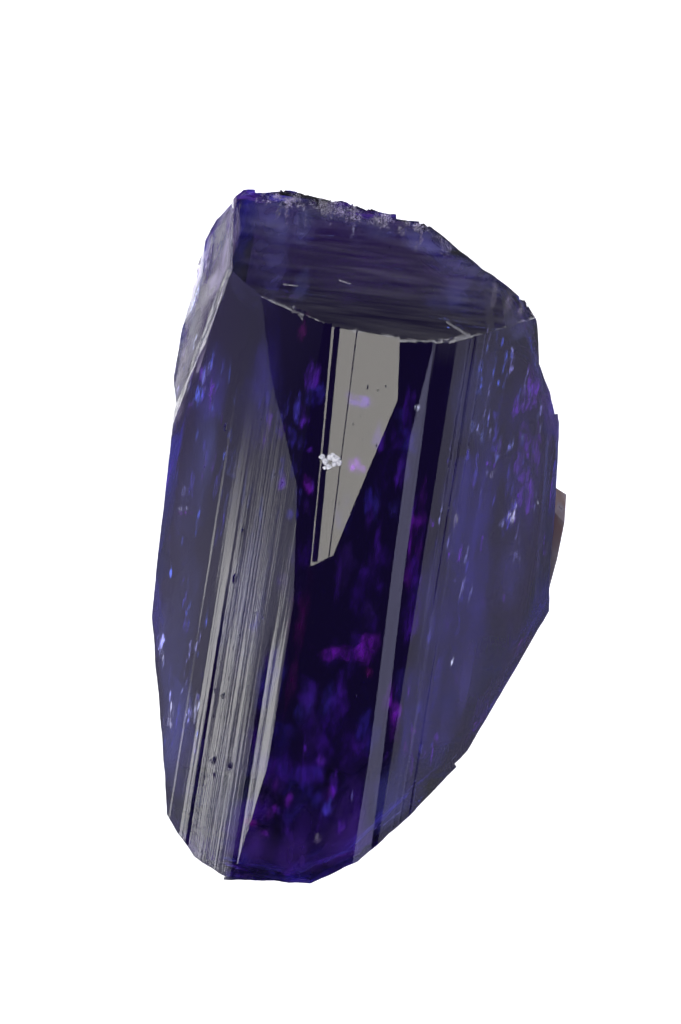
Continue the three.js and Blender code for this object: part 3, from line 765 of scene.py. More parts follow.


# Broad soft sheets just below the sides, glowing with painted light in place of light passing through the stone.
SIDE_PAINTED_GLOW = (
    Skin(
        dict(
            top_end=5, top_end_left=5, top_end_right=5, top_shoulder=5, top_left_corner=4, left_outer=6,
            left_side=14, lower_left=9, bottom_left=4, bottom_left_low=4, bottom=5, bottom_right=4,
            bottom_right_high=4, lower_right=8, right_slant=12, right_side=8, right_upper=7, bottom_under=8,
            bottom_shell=12, bottom_shell_left=8, bottom_shell_right=8,
        ),
        (0.25, 0.9), (2.0, 4.0), (3.0, 6.5), (INDIGO, DARK_VIOLET, DARK_SLATE, SLATE), (0.25, 0.5), (0.7, 0.97),
    ),
    Skin(
        dict(
            left_cleavage_wall=8, left_cleavage_roof=5, right_cleavage_wall=7, right_cleavage_roof=5,
            right_step_wall=5, right_step_roof=4, top_under=6, back_left=12, back_right=12,
        ),
        (0.2, 0.7), (1.5, 3.4), (2.0, 5.0), (INDIGO, VIOLET, DEEP_BLUE, BLUE), (0.5, 1.0), (0.8, 0.97),
    ),
    Skin(
        dict(
            top_end_shell=10, top_end_shell_right=8, left_trough=12, right_trough=12,
        ),
        (0.25, 0.6), (1.6, 3.4), (2.0, 4.5), (INDIGO, VIOLET, DEEP_BLUE), (0.4, 0.9), (0.8, 0.97),
    ),
    # Lilac and grey sheets under the left ledge faces: their glow is a painted reflection of the bright floor on these
    # steep faces.
    Skin(
        dict(
            left_ledge_high_flank=9, left_ledge_high_flank_low=7, left_ledge_high_ledge=10,
        ),
        (0.1, 0.35), (0.8, 2.0), (1.6, 3.6), (LILAC, GREY), (0.22, 0.5), (0.75, 0.97),
    ),
    # More of the same under the lower ledge: painted reflection of the bright floor.
    Skin(
        dict(
            left_ledge_low_flank=12, left_ledge_low_flank_low=12, left_ledge_low_ledge=10,
        ),
        (0.1, 0.35), (0.8, 2.0), (1.6, 3.6), (LILAC, LILAC, GREY), (0.5, 0.95), (0.8, 0.98),
    ),
)

# Small flaws just below the sides, glowing as painted flashes.
SIDE_FLASHES = (
    Skin(
        dict(
            top_end=8, top_end_left=8, top_end_right=8, top_shoulder=8, top_under=8, top_left_corner=6,
            left_outer=10, left_side=22, lower_left=16, bottom_left=6, bottom_left_low=6, bottom=8, bottom_right=6,
            bottom_right_high=6, bottom_under=4, lower_right=12, right_slant=18, right_side=12, right_upper=10,
            back_left=20, back_right=20, left_trough=12, right_trough=12, bottom_shell=6, top_end_shell=10,
            bottom_shell_left=3, bottom_shell_right=3, left_cleavage_wall=8, right_cleavage_wall=8,
        ),
        (0.15, 0.7), (0.15, 0.7), (0.6, 2.6), (BLUE, VIOLET, LAVENDER, PURPLE, INDIGO), (0.35, 0.9), (0.4, 0.85),
    ),
    # Pale and lilac flaws under the left ledge faces: their glow is a painted reflection of the bright floor on these
    # steep faces.
    Skin(
        dict(
            left_ledge_high_flank=10, left_ledge_high_flank_low=8, left_ledge_high_ledge=10,
            left_ledge_low_flank=10, left_ledge_low_flank_low=8, left_ledge_low_ledge=10, left_outer=8,
        ),
        (0.09, 0.3), (0.12, 0.5), (0.8, 2.4), (PALE, LILAC, GREY), (0.3, 0.75), (0.5, 0.95),
    ),
    # Near-opaque dark sheets with a dim painted glow, which darken streaks under the left ledge.
    Skin(
        dict(
            left_ledge_high_flank=20, left_ledge_high_ledge=12, left_ledge_low_flank=14, left_ledge_low_ledge=8,
            left_outer=6,
        ),
        (0.09, 0.2), (0.12, 0.5), (0.8, 2.6), (DARK_SLATE, DARK_VIOLET), (0.1, 0.3), (0.9, 1.0),
    ),
    # Grey and lilac flaws under the top rim: painted glow where little light comes through the rim.
    Skin(
        dict(top_end=16, top_end_left=10, top_end_right=10, top_shoulder=10, top_left_corner=8),
        (0.1, 0.3), (0.3, 1.0), (0.4, 1.2), (LILAC, GREY, PALE), (0.15, 0.45), (0.4, 0.8),
    ),
    # More pale flaws under the lower ledge: painted reflection of the bright floor.
    Skin(
        dict(left_ledge_low_flank=14, left_ledge_low_ledge=10),
        (0.09, 0.25), (0.12, 0.4), (0.8, 2.2), (PALE, GREY), (0.7, 1.2), (0.6, 0.95),
    ),
)


def lattice_noise(points: np.ndarray, seed: int) -> np.ndarray:
    """Smooth repeatable noise, one value from -1 to 1 for each point.

    Args:
        points: An array of points, three columns, measured in noise cells.
        seed: Picks one of many unlike fields.

    Returns:
        One value for each point.
    """
    cell = np.floor(points).astype(np.int64)
    part = points - cell
    part = part * part * (3.0 - 2.0 * part)
    total = np.zeros(len(points))
    for corner in itertools.product((0, 1), repeat=3):
        key = cell + np.array(corner)
        code = key[:, 0] * 374761393 + key[:, 1] * 668265263 + key[:, 2] * 1442695041 + seed * 97531
        code = (code ^ (code >> 13)) * 1274126177
        code = (code ^ (code >> 16)) & 0xFFFF
        weight = np.prod(np.where(np.array(corner) == 1, part, 1.0 - part), axis=1)
        total += weight * (code / 32767.5 - 1.0)
    return total


def layered_noise(points: np.ndarray, seed: int, octaves: int) -> np.ndarray:
    """Noise with finer and finer detail.

    Args:
        points: An array of points, three columns, measured in cells of the broadest octave.
        seed: Picks one of many unlike fields.
        octaves: How many times the detail is halved in size.

    Returns:
        One value for each point, about -1 to 1.
    """
    total = np.zeros(len(points))
    for octave in range(octaves):
        total += lattice_noise(points * 2.0**octave, seed + octave * 17) * 0.5**octave
    return total


STEP_FLAT, STEP_RISE = 0.7, 0.3  # shares of a step that run level and that rise


def terraces(values: np.ndarray, steps: float) -> np.ndarray:
    """Turns smooth values into steps with steep but not vertical risers.

    Args:
        values: The smooth values.
        steps: How many steps there are for each unit.

    Returns:
        The stepped values.
    """
    scaled = values * steps
    whole = np.floor(scaled)
    rise = np.clip((scaled - whole - STEP_FLAT) / STEP_RISE, 0.0, 1.0)
    return (whole + rise) / steps


@dataclass(frozen=True)
class Texture:
    """One layer of a relief: noise in cells of a size, cut into steps or folded into ridges where it says so."""

    weight: float
    cell: Point
    octaves: int
    shift: int = 0
    steps: float = 0.0
    ridged: bool = False

    def height(self, places: np.ndarray, seed: int) -> np.ndarray:
        """Reads the layer.

        Args:
            places: Where to read it, in millimetres, three columns.
            seed: Picks one of many unlike layers.

        Returns:
            One height for each place, as a share of the relief's depth.
        """
        noise = layered_noise(places / np.array(self.cell), seed + self.shift, self.octaves)
        if self.ridged:
            noise = 1.0 - np.abs(noise) * 2.0
        return self.weight * (terraces(noise, self.steps) if self.steps else noise)


TEXTURES = {
    Relief.FLAT: (),
    Relief.LAYERED: (Texture(1.2, (9.0, 1.1, 9.0), 1), Texture(0.6, (3.2, 0.42, 3.2), 2, 5)),
    Relief.CLEAVED: (Texture(1.2, (0.8, 4.6, 0.8), 2, steps=3.0), Texture(0.28, (0.35, 0.9, 0.35), 2, 3)),
    Relief.SHARDS: (Texture(1.1, (0.34, 1.9, 0.6), 2, steps=3.5), Texture(0.16, (0.1, 1.6, 0.14), 1, 3)),
    Relief.HACKLY: (
        Texture(0.8, (1.9, 1.9, 1.9), 2),
        Texture(0.7, (0.7, 0.9, 1.6), 2, 3, steps=2.5),
        Texture(0.22, (0.5, 0.5, 0.5), 2, 9, ridged=True),
    ),
    Relief.FINE_BREAK: (Texture(0.7, (1.5, 1.5, 1.5), 3), Texture(0.6, (0.6, 0.6, 2.2), 2, 3, steps=2.0)),
}


def turned(angle: float, axis: str, size: int = 4) -> Matrix:
    """A turn by an angle in degrees about an axis."""
    return Matrix.Rotation(math.radians(angle), size, axis)


def axes_of(out: Vector) -> tuple[Vector, Vector, Vector]:
    """Finds the directions of a plane.

    Args:
        out: The way out of the stone, of any length.

    Returns:
        Two directions in the plane, and the way out, one millimetre long.
    """
    out = out.normalized()
    side = Vector((0, 1, 0)) if abs(out.y) < 0.6 else Vector((1, 0, 0))
    across = (side - out * side.dot(out)).normalized()
    return across, out.cross(across), out


def footprint(at: Vector, out: Vector, others: list[Plane]) -> list[Vector]:
    """The part of a plane that bounds the stone.

    Args:
        at: A point on the plane.
        out: The way out of it.
        others: The other planes that bound the stone.

    Returns:
        The corners of that part, or none if the plane misses the stone.
    """
    across, along, _ = axes_of(out)
    corners = [at + across * u * FAR + along * v * FAR for u, v in SQUARE]
    for point, way in others:
        kept = []
        for corner, following in zip(corners, corners[1:] + corners[:1]):
            here = (corner - point).dot(way)
            there = (following - point).dot(way)
            if here <= 0:
                kept.append(corner)
            if (here < 0) != (there < 0):
                kept.append(corner.lerp(following, here / (here - there)))
        corners = kept
        if not corners:
            break
    return corners


def slab_faces(shape: tuple[int, int]) -> list[tuple[int, ...]]:
    """The faces of a closed slab with a grid on both sides.

    Args:
        shape: How many points the grid has each way.

    Returns:
        Point numbers of each face.
    """
    count = shape[0] * shape[1]
    number = np.arange(count).reshape(shape)
    a, b = number[:-1, :-1].ravel(), number[1:, :-1].ravel()
    c, d = number[1:, 1:].ravel(), number[:-1, 1:].ravel()
    inner = np.stack((d, c, b, a), axis=1)
    outer = np.stack((a, b, c, d), axis=1) + count
    rim = np.concatenate((number[:, 0], number[-1, 1:], number[-2::-1, -1], number[0, -2:0:-1]))
    following = np.roll(rim, -1)
    walls = np.stack((rim, following, following + count, rim + count), axis=1)
    return [tuple(face) for face in np.vstack((inner, outer, walls)).tolist()]


@dataclass
class Workbench:
    """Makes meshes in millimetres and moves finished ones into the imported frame."""

    offset: Vector = field(default_factory=Vector)

    def __post_init__(self) -> None:
        """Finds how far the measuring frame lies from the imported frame."""
        low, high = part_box(CAD_NODE)
        middle = (low + high) / 2.0
        self.offset = Vector((middle.x / MM - FOOTPRINT_MIDDLE[0], middle.y / MM - FOOTPRINT_MIDDLE[1], 0.0))

    def placed(self, point: Point) -> Vector:
        """Gives a measured point, in metres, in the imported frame."""
        return (Vector(point) + self.offset) * MM

    def mesh_object(self, name: str, places: Points, faces: list[tuple[int, ...]]) -> Solid:
        """Makes a mesh object from points and faces, still in millimetres.

        Args:
            name: The object's name.
            places: The points.
            faces: Point numbers of each face, seen anticlockwise from outside.

        Returns:
            The new object, in the scene.
        """
        mesh = bpy.data.meshes.new(name)
        mesh.from_pydata(np.array(places).tolist(), [], faces)
        mesh.update()
        return self.shown(name, mesh)

    def shown(self, name: str, data: bpy.types.ID) -> Solid:
        """Puts a mesh or camera into the scene as an object.

        Args:
            name: The object's name.
            data: The mesh or camera.

        Returns:
            The object.
        """
        made = bpy.data.objects.new(name, data)
        bpy.context.scene.collection.objects.link(made)
        return made

    def shaped(self, name: str, shape: bmesh.types.BMesh, places: Points = ()) -> Solid:
        """Turns an edit mesh into an object.

        Args:
            name: The object's name.
            shape: The edit mesh, which is freed.
            places: Where its points go, if they move.

        Returns:
            The object.
        """
        for vertex, place in zip(shape.verts, places):
            vertex.co = place
        mesh = bpy.data.meshes.new(name)
        shape.to_mesh(mesh)
        shape.free()
        return self.shown(name, mesh)

    def mark(self, made: Solid, crisp: float, broken: float = 0.0, layered: float = 0.0) -> Solid:
        """Gives all faces of an object the same surface marks, none of them striated.

        Args:
            made: The object.
            crisp: 1 where every small edge is sharp, 0 where the surface runs smoothly.
            broken: 1 on rough breaks, 0 on polished faces.
            layered: 1 on the end face, whose fine layers run across the prism, 0 elsewhere.

        Returns:
            The same object.
        """
        count = len(made.data.polygons)
        for name, value in (("crisp", crisp), ("broken", broken), ("striated", 0.0), ("layered", layered)):
            layer = made.data.attributes.new(name, "FLOAT", "FACE")
            layer.data.foreach_set("value", np.full(count, value, dtype=np.float32))
        return made

    def cut(self, stone: Solid, cutters: list[Solid], operation: str) -> Solid:
        """Cuts a solid with others and removes them.

        Args:
            stone: The solid to cut.
            cutters: The closed solids that cut it.
            operation: "DIFFERENCE" or "INTERSECT".

        Returns:
            A new object with the result.
        """
        group = bpy.data.collections.new("cutters")
        bpy.context.scene.collection.children.link(group)
        for cutter in cutters:
            group.objects.link(cutter)
        step = stone.modifiers.new("cut", "BOOLEAN")
        step.solver = "MANIFOLD"
        step.operation = operation
        step.operand_type = "COLLECTION"
        step.collection = group
        evaluated = stone.evaluated_get(bpy.context.evaluated_depsgraph_get())
        name = stone.name
        result = self.shown(name, bpy.data.meshes.new_from_object(evaluated))
        for used in [*cutters, stone]:
            bpy.data.objects.remove(used)
        bpy.data.collections.remove(group)
        result.name = name
        return result

    def sharpen(self, made: Solid, crisp_angle: float, soft_angle: float) -> None:
        """Shades a mesh smoothly but for its sharp edges.

        Args:
            made: The object, with its crisp marks.
            crisp_angle: Degrees above which an edge beside a crisp face is sharp.
            soft_angle: Degrees above which any edge is sharp.
        """
        mesh = made.data
        mesh.shade_smooth()
        crisp = np.zeros(len(mesh.polygons), dtype=np.float32)
        mesh.attributes["crisp"].data.foreach_get("value", crisp)
        shape = bmesh.new()
        shape.from_mesh(mesh)
        shape.faces.ensure_lookup_table()
        for edge in shape.edges:
            if len(edge.link_faces) != 2:
                continue
            first, second = edge.link_faces
            limit = crisp_angle if max(crisp[first.index], crisp[second.index]) > 0.5 else soft_angle
            edge.smooth = math.degrees(first.normal.angle(second.normal, 0.0)) < limit
        shape.to_mesh(mesh)
        shape.free()

    def finish_piece(self, made: Solid, material: Material, slot: str) -> Solid:
        """Args:
            made: The piece, in millimetres.
            material: Its finish.
            slot: Not used.

        Returns:
            The same piece.
        """
        made.data.transform(Matrix.Scale(MM, 4) @ Matrix.Translation(self.offset))
        made.data.materials.clear()
        made.data.materials.append(material)
        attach(made, BODY)
        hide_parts(CAD_NODE)
        return made


@dataclass
class CutPlane:
    """Builds the block outside a cut's plane, with the cut's relief where it meets the stone."""

    cut: Cut
    bench: Workbench
    seed: int
    cell: float = 0.22
    margin: float = 0.7
    spare: float = 0.3
    overlap: float = 0.6

    def plain_block(self, lift: float) -> Solid:
        """A large block that starts a little outside the plane.

        Args:
            lift: How far outside the plane it starts.

        Returns:
            The block, marked as this cut's surface.
        """
        across, along, out = axes_of(Vector(self.cut.out))
        base = Vector(self.cut.at) + out * lift
        places = [base + across * u * FAR + along * v * FAR + out * height for height in (0.0, FAR) for u, v in SQUARE]
        return self.bench.mark(self.bench.mesh_object("block", places, BOX_FACES), 1.0, self.cut.broken)

    def relief_slab(self, corners: list[Vector]) -> Solid:
        """A slab whose inner side carries the relief, over the part that bounds the stone.

        Args:
            corners: The corners of that part.

        Returns:
            The slab, marked as this cut's surface.
        """
        across, along, out = axes_of(Vector(self.cut.out))
        at = Vector(self.cut.at)
        cell = FINE_CELLS.get(self.cut.relief, self.cell)
        spans = []
        for direction in (across, along):
            reach = [(corner - at).dot(direction) for corner in corners]
            low, high = min(reach) - self.margin, max(reach) + self.margin
            spans.append(np.linspace(low, high, max(2, int((high - low) / cell) + 1)))
        u, v = np.meshgrid(spans[0], spans[1], indexing="ij")
        flat = np.array(at) + u[..., None] * np.array(across) + v[..., None] * np.array(along)
        flat = flat.reshape(-1, 3)
        heights = [texture.height(flat, self.seed) for texture in TEXTURES[self.cut.relief]]
        height = self.cut.depth * sum(heights, np.zeros(len(flat)))
        inner = flat + height[:, None] * np.array(out)
        outer = flat + (self.spare + self.overlap) * np.array(out)
        made = self.bench.mesh_object("slab", np.vstack((inner, outer)), slab_faces(u.shape))
        layered = float(self.cut.relief is Relief.LAYERED)
        return self.bench.mark(made, float(self.cut.relief is Relief.FLAT), self.cut.broken, layered)


def bounding_planes() -> list[Plane]:
    """Lists the planes of the prism's faces and of the cuts that trim it.

    Returns:
        A point and the way out for each.
    """
    planes = []
    for face, after in zip(PRISM_FACES, FACES_AFTER):
        (x, z), (next_x, next_z) = face.start, after.start
        planes.append((Vector((x, 0, z)), Vector((z - next_z, 0, next_x - x)).normalized()))
    return planes + [cut.plane() for cut in TRIM_CUTS]


@dataclass
class CrystalBody:
    """The striated prism with its end face, facets, breaks, pits and growth lines."""

    bench: Workbench
    seed: int = 5
    slice_length: float = 0.4
    stripe_run: float = 6.0
    stripe_gap: float = 3.7
    own_share: float = 0.6
    drift_share: float = 0.8
    swell_width: float = 1.3
    swell_run: float = 13.0
    width_spread: float = 0.5
    silver_end: float = -10.0
    silver_fade: float = 9.0
    groove_top: float = 0.8
    ball_detail: int = 5
    ripple: float = 0.05
    ring_wave: float = 3.6
    rim_step: float = 0.07
    nick_lean: float = 4.0
    nick_turn: float = 35.0
    nick_sizes: Pair = (0.5, 1.7)
    grain: float = 0.5
    crisp_angle: float = 0.8
    soft_angle: float = 30.0

    def face_strips(self, face: PrismFace, following: PrismFace, stream: np.random.Generator) -> dict[str, np.ndarray]:
        """Divides a face into its strips.

        Args:
            face: The face.
            following: The face after it, whose corner ends this one.
            stream: The source of the strips' uneven widths.

        Returns:
            Each strip's share of the face, and its height low and high on the prism, waviness, swell,
            texture and calm.
        """
        length = math.dist(face.start, following.start)
        shares, strips, low = [0.0], [], 0.0
        for band in face.bands:
            widths = []
            while sum(widths) < (band.until - low) * length or not widths:
                widths.append(band.pitch * math.exp(stream.normal(0.0, self.width_spread)))
            slopes = [math.tan(math.radians(tilt)) for tilt in (band.tilt_low, band.tilt_high, band.spread)]
            for width in widths:
                shares.append(shares[-1] + width / sum(widths) * (band.until - low))
                strips.append((slopes[0], slopes[1], width * slopes[2], band.texture, band.calm))
            low = band.until
        slopes_low, slopes_high, uneven, textures, calms = np.array(strips).T
        steps = np.diff(shares) * length
        heights = []
        for slopes in (slopes_low, slopes_high):
            rise = np.concatenate(((0.0,), np.cumsum(steps * slopes)))
            heights.append((rise - np.array(shares) * rise[-1])[:-1])
        return {
            "share": np.array(shares[:-1]),
            "low": heights[0],
            "high": heights[1],
            "uneven": np.concatenate(((0.0,), np.minimum(uneven[1:], uneven[:-1]))),
            "swell": np.concatenate(((0.0,), np.full(len(steps) - 1, face.swell))),
            "texture": textures,
            "calm": calms,
        }

    def raw_prism(self) -> Solid:
        """Draws the prism out along Y, its stripes varying slowly along it.

        Returns:
            The prism, with its striated faces marked.
        """
        stream = np.random.default_rng(self.seed)
        strips = [self.face_strips(face, after, stream) for face, after in zip(PRISM_FACES, FACES_AFTER)]
        ring = {name: np.concatenate([strip[name] for strip in strips]) for name in strips[0]}
        owner = np.concatenate([np.full(len(strip["share"]), i) for i, strip in enumerate(strips)])
        count = len(owner)
        own = stream.uniform(-1.0, 1.0, count)
        slices = np.arange(PRISM_ENDS[0], PRISM_ENDS[1] + self.slice_length, self.slice_length)
        points, _ = self.outline_at(0.0, owner, ring["share"])
        walked = np.concatenate(((0.0,), np.cumsum(np.linalg.norm(np.diff(points, axis=0), axis=1))))
        rows = []
        for y in slices:
            points, outs = self.outline_at(y, owner, ring["share"])
            stripes = (np.arange(count) * self.stripe_gap, np.full(count, y / self.stripe_run), own)
            drift = lattice_noise(np.stack(stripes, 1), 3)
            waves = (walked / self.swell_width, np.full(count, y / self.swell_run), np.zeros(count))
            swell = layered_noise(np.stack(waves, 1), 8, 2)
            share = min(1.0, max(0.0, (y - self.silver_end) / self.silver_fade))
            share = share * share * (3.0 - 2.0 * share)
            tilt = ring["low"] * (1.0 - share) + ring["high"] * share
            uneven = ring["uneven"] * (1.0 - share * ring["calm"])
            proud = tilt + uneven * (self.own_share * own + self.drift_share * drift) + ring["swell"] * swell
            outline = points + outs * proud[:, None]
            rows.append(np.stack((outline[:, 0], np.full(count, y), outline[:, 1]), 1))
        number = np.arange(count * len(slices)).reshape(len(slices), count)
        following = np.roll(number, -1, axis=1)
        sides = np.stack((number[:-1], following[:-1], following[1:], number[1:]), axis=-1).reshape(-1, 4)
        faces = [tuple(face) for face in [*sides.tolist(), number[0][::-1].tolist(), number[-1].tolist()]]
        prism = self.bench.mark(self.bench.mesh_object("crystal_prism", np.vstack(rows), faces), 1.0)
        values = np.concatenate((np.tile(ring["texture"], len(slices) - 1), (0.0, 0.0))).astype(np.float32)
        prism.data.attributes["striated"].data.foreach_set("value", values)
        return prism

    def outline_at(self, y: float, owner: np.ndarray, share: np.ndarray) -> tuple[np.ndarray, np.ndarray]:
        """Gives the plain cross-section at one place along the prism.

        Args:
            y: The place.
            owner: The number of the face that each point is on.
            share: How far along its face each point is.

        Returns:
            The points and the way out at each.
        """
        corners = []
        for face in PRISM_FACES:
            ys, xs, zs = np.array(CORNER_RUNS.get(face.name, ((0.0, *face.start),))).T
            corners.append((np.interp(y, ys, xs), np.interp(y, ys, zs)))
        starts = np.array(corners)
        runs = np.roll(starts, -1, axis=0) - starts
        outs = np.stack((-runs[:, 1], runs[:, 0]), axis=1) / np.linalg.norm(runs, axis=1)[:, None]
        return starts[owner] + runs[owner] * share[:, None], outs[owner]

    def trim_cutters(self) -> list[Solid]:
        """Makes what trims the prism.

        Returns:
            The blocks and relief slabs.
        """
        planes = bounding_planes()
        cutters = []
        for i, cut in enumerate(TRIM_CUTS):
            own = len(PRISM_FACES) + i
            shape = CutPlane(cut, self.bench, seed=100 + i * 7)
            cutters.append(shape.plain_block(shape.spare if cut.depth else 0.0))
            corners = footprint(Vector(cut.at), Vector(cut.out), planes[:own] + planes[own + 1:])
            if cut.depth and corners:
                cutters.append(shape.relief_slab(corners))
        return cutters

    def notch_cutters(self) -> list[Solid]:
        """Makes the blocks that leave the inward corners.

        Returns:
            One block for each notch.
        """
        cutters = []
        for i, notch in enumerate(NOTCHES):
            planes = bounding_planes() + [(at, -out) for at, out in (cut.plane() for cut in notch.cuts)]
            corners = []
            for number, (at, out) in enumerate(planes):
                corners += footprint(at, out, planes[:number] + planes[number + 1:])
            blocks = []
            for j, cut in enumerate(notch.cuts):
                shape = CutPlane(cut, self.bench, seed=400 + i * 31 + j * 5, spare=30.0, margin=1.2)
                blocks.append(shape.relief_slab(corners) if cut.depth else shape.plain_block(0.0))
            result = blocks[0]
            for block in blocks[1:]:
                result = self.bench.cut(result, [block], "INTERSECT")
            cutters.append(result)
        return cutters

    def chip_cutters(self) -> list[Solid]:
        """The blocks that break steps out of the edges."""
        return [self.rough_box(chip.at, chip.size, chip.turning(4), seed=700 + i * 3) for i, chip in enumerate(CHIPS)]

    def nick_cutters(self) -> list[Solid]:
        """Makes the small blocks that leave the edges ragged.

        Returns:
            The blocks.
        """
        stream = np.random.default_rng(self.seed + 40)
        cutters = []
        for row in NICK_ROWS:
            start, end = Vector(row.start), Vector(row.end)
            heading = math.degrees(math.atan2(end.y - start.y, end.x - start.x))
            for i in range(row.count):
                at = start.lerp(end, (i + stream.uniform(0.0, 1.0)) / row.count)
                turn = turned(heading + stream.uniform(-self.nick_turn, self.nick_turn), "Z")
                turn = turn @ turned(stream.uniform(-self.nick_lean, self.nick_lean), "Y")
                size = [side * stream.uniform(*self.nick_sizes) for side in row.size[:2]] + [row.size[2]]
                cutters.append(self.rough_box(tuple(at), tuple(size), turn, 2000 + len(cutters), 1, 0.25 * row.size[1]))
        return cutters

    def speck_cutters(self) -> list[Solid]:
        """Makes the tiny lumps that leave pinholes in the flat faces.

        Returns:
            The lumps.
        """
        stream = np.random.default_rng(self.seed + 41)
        cutters = []
        for specks in SPECK_FIELDS:
            (at_x, at_y, at_z), (slope_x, slope_y, slope_z) = specks.at, specks.out
            for _ in range(specks.count):
                x, y = stream.uniform(specks.low, specks.high)
                z = at_z - (slope_x * (x - at_x) + slope_y * (y - at_y)) / slope_z
                radius = specks.radius * math.exp(stream.normal(0.0, 0.4))
                radii = (radius * 0.7, radius * stream.uniform(1.0, 2.6), radius * 0.8)
                cutters.append(self.ball((x, y, z), radii, 1, 0.012, 3000 + len(cutters)))
        return cutters

    def worn_edge_cutters(self) -> list[Solid]:
        """Makes the thin slabs that rub the front edge of the end face.

        Returns:
            The slabs.
        """
        cutters = []
        for i, edge in enumerate(WORN_EDGES):
            start, end, out = Vector(edge.start), Vector(edge.end), Vector(edge.out).normalized()
            along = (end - start).normalized()
            across = out.cross(along).normalized()
            out = np.array(along.cross(across))
            length = (end - start).length
            steps = np.linspace(0.0, length, max(4, int(length / self.rim_step)))
            u, v = np.meshgrid(steps, np.linspace(-edge.half, edge.half, 9), indexing="ij")
            flat = np.array(start) + u[..., None] * np.array(along) + v[..., None] * np.array(across)
            flat = flat.reshape(-1, 3)
            wear = edge.depth * np.clip(0.45 + 1.3 * layered_noise(flat / 0.28, 60 + i, 2), -0.4, 2.4)
            places = np.vstack((flat - wear[:, None] * out, flat + edge.half * out))
            cutters.append(self.bench.mark(self.bench.mesh_object("rim", places, slab_faces(u.shape)), 0.0, 0.5))
        return cutters

    def rough_box(self, at: Point, size: Point, turn: Matrix, seed: int, cuts: int = 5, wobble: float = 0.05) -> Solid:
        """Makes a box with rough sides.

        Args:
            at: Its middle.
            size: Its width, length and height.
            turn: How it is turned about its middle.
            seed: Picks its roughness.
            cuts: How often each side is divided.
            wobble: How far its surface strays.

        Returns:
            The box.
        """
        shape = bmesh.new()
        bmesh.ops.create_cube(shape, size=1.0)
        bmesh.ops.subdivide_edges(shape, edges=shape.edges[:], cuts=cuts, use_grid_fill=True)
        places = np.array([vertex.co for vertex in shape.verts]) * np.array(size)
        places = np.array([turn @ Vector(place) for place in places]) + np.array(at)
        strays = np.stack([layered_noise(places / self.grain, seed + axis, 2) for axis in range(3)], axis=1)
        return self.bench.mark(self.bench.shaped("chip", shape, places + wobble * strays), 0.0, 0.9)

    def ball(self, at: Point, radii: Point, detail: int, ripple: float, seed: int) -> Solid:
        """Makes a stretched ball with rings of ripples around a point on its surface.

        Args:
            at: Its middle.
            radii: Its half sizes.
            detail: How finely it is divided.
            ripple: The height of its ripples.
            seed: Picks its roughness.

        Returns:
            The ball.
        """
        shape = bmesh.new()
        bmesh.ops.create_icosphere(shape, subdivisions=detail, radius=1.0)
        places = np.array([vertex.co for vertex in shape.verts]) * np.array(radii)
        source = np.array((0.2, -0.8 * math.copysign(1.0, at[1]), 0.75)) * np.array(radii)
        away = np.linalg.norm(places - source, axis=1)
        rings = np.sin(away * self.ring_wave + 1.4 * layered_noise(places / 3.0, seed, 2))
        rough = layered_noise(places / min(0.9, 0.7 * min(radii)), seed + 3, 2)
        scale = 1.0 + (ripple * rings + 0.6 * ripple * rough) / np.mean(radii)
        return self.bench.mark(self.bench.shaped("ball", shape, places * scale[:, None] + np.array(at)), 0.0, 0.9)

    def shell_cutters(self) -> list[Solid]:
        """The balls that hollow the broken ends and the sides below the front."""
        detail, ripple = self.ball_detail, self.ripple
        return [self.ball(shell.at, shell.radii, detail, ripple, 900 + i * 11) for i, shell in enumerate(SHELLS)]

    def pit_cutters(self) -> list[Solid]:
        """The small lumps that leave pits on the striated left face."""
        radii = [(pit.radius * 0.5, pit.radius, pit.radius * 0.6) for pit in PITS]
        return [self.ball(pit.at, radii[i], 3, self.ripple, 1100 + i) for i, pit in enumerate(PITS)]

    def groove_cutters(self) -> list[Solid]:
        """Makes long bars with a tilted flat underside that cut the growth lines.

        Returns:
            The bars.
        """
        cutters = []
        for groove in GROOVES:
            start, end = Vector(groove.start), Vector(groove.end)
            across = Vector((0, 0, 1)).cross((end - start).normalized()).normalized()
            half = groove.width / 2.0
            fall = half * math.tan(math.radians(groove.tilt))
            section = ((-1, fall), (1, -fall), (1, self.groove_top), (-1, self.groove_top))
            places = [base + across * side * half + Vector((0, 0, z)) for base in (start, end) for side, z in section]
            cutters.append(self.bench.mark(self.bench.mesh_object("groove", places, BOX_FACES), 1.0))
        return cutters

    def build(self) -> Solid:
        """Cuts the prism into the crystal.

        Returns:
            The crystal, still in millimetres.
        """
        prism = self.raw_prism()
        cutters = [
            *self.trim_cutters(),
            *self.notch_cutters(),
            *self.chip_cutters(),
            *self.shell_cutters(),
            *self.pit_cutters(),
            *self.groove_cutters(),
            *self.worn_edge_cutters(),
            *self.nick_cutters(),
            *self.speck_cutters(),
        ]
        stone = self.bench.cut(prism, cutters, "DIFFERENCE")
        self.bench.sharpen(stone, self.crisp_angle, self.soft_angle)
        return stone


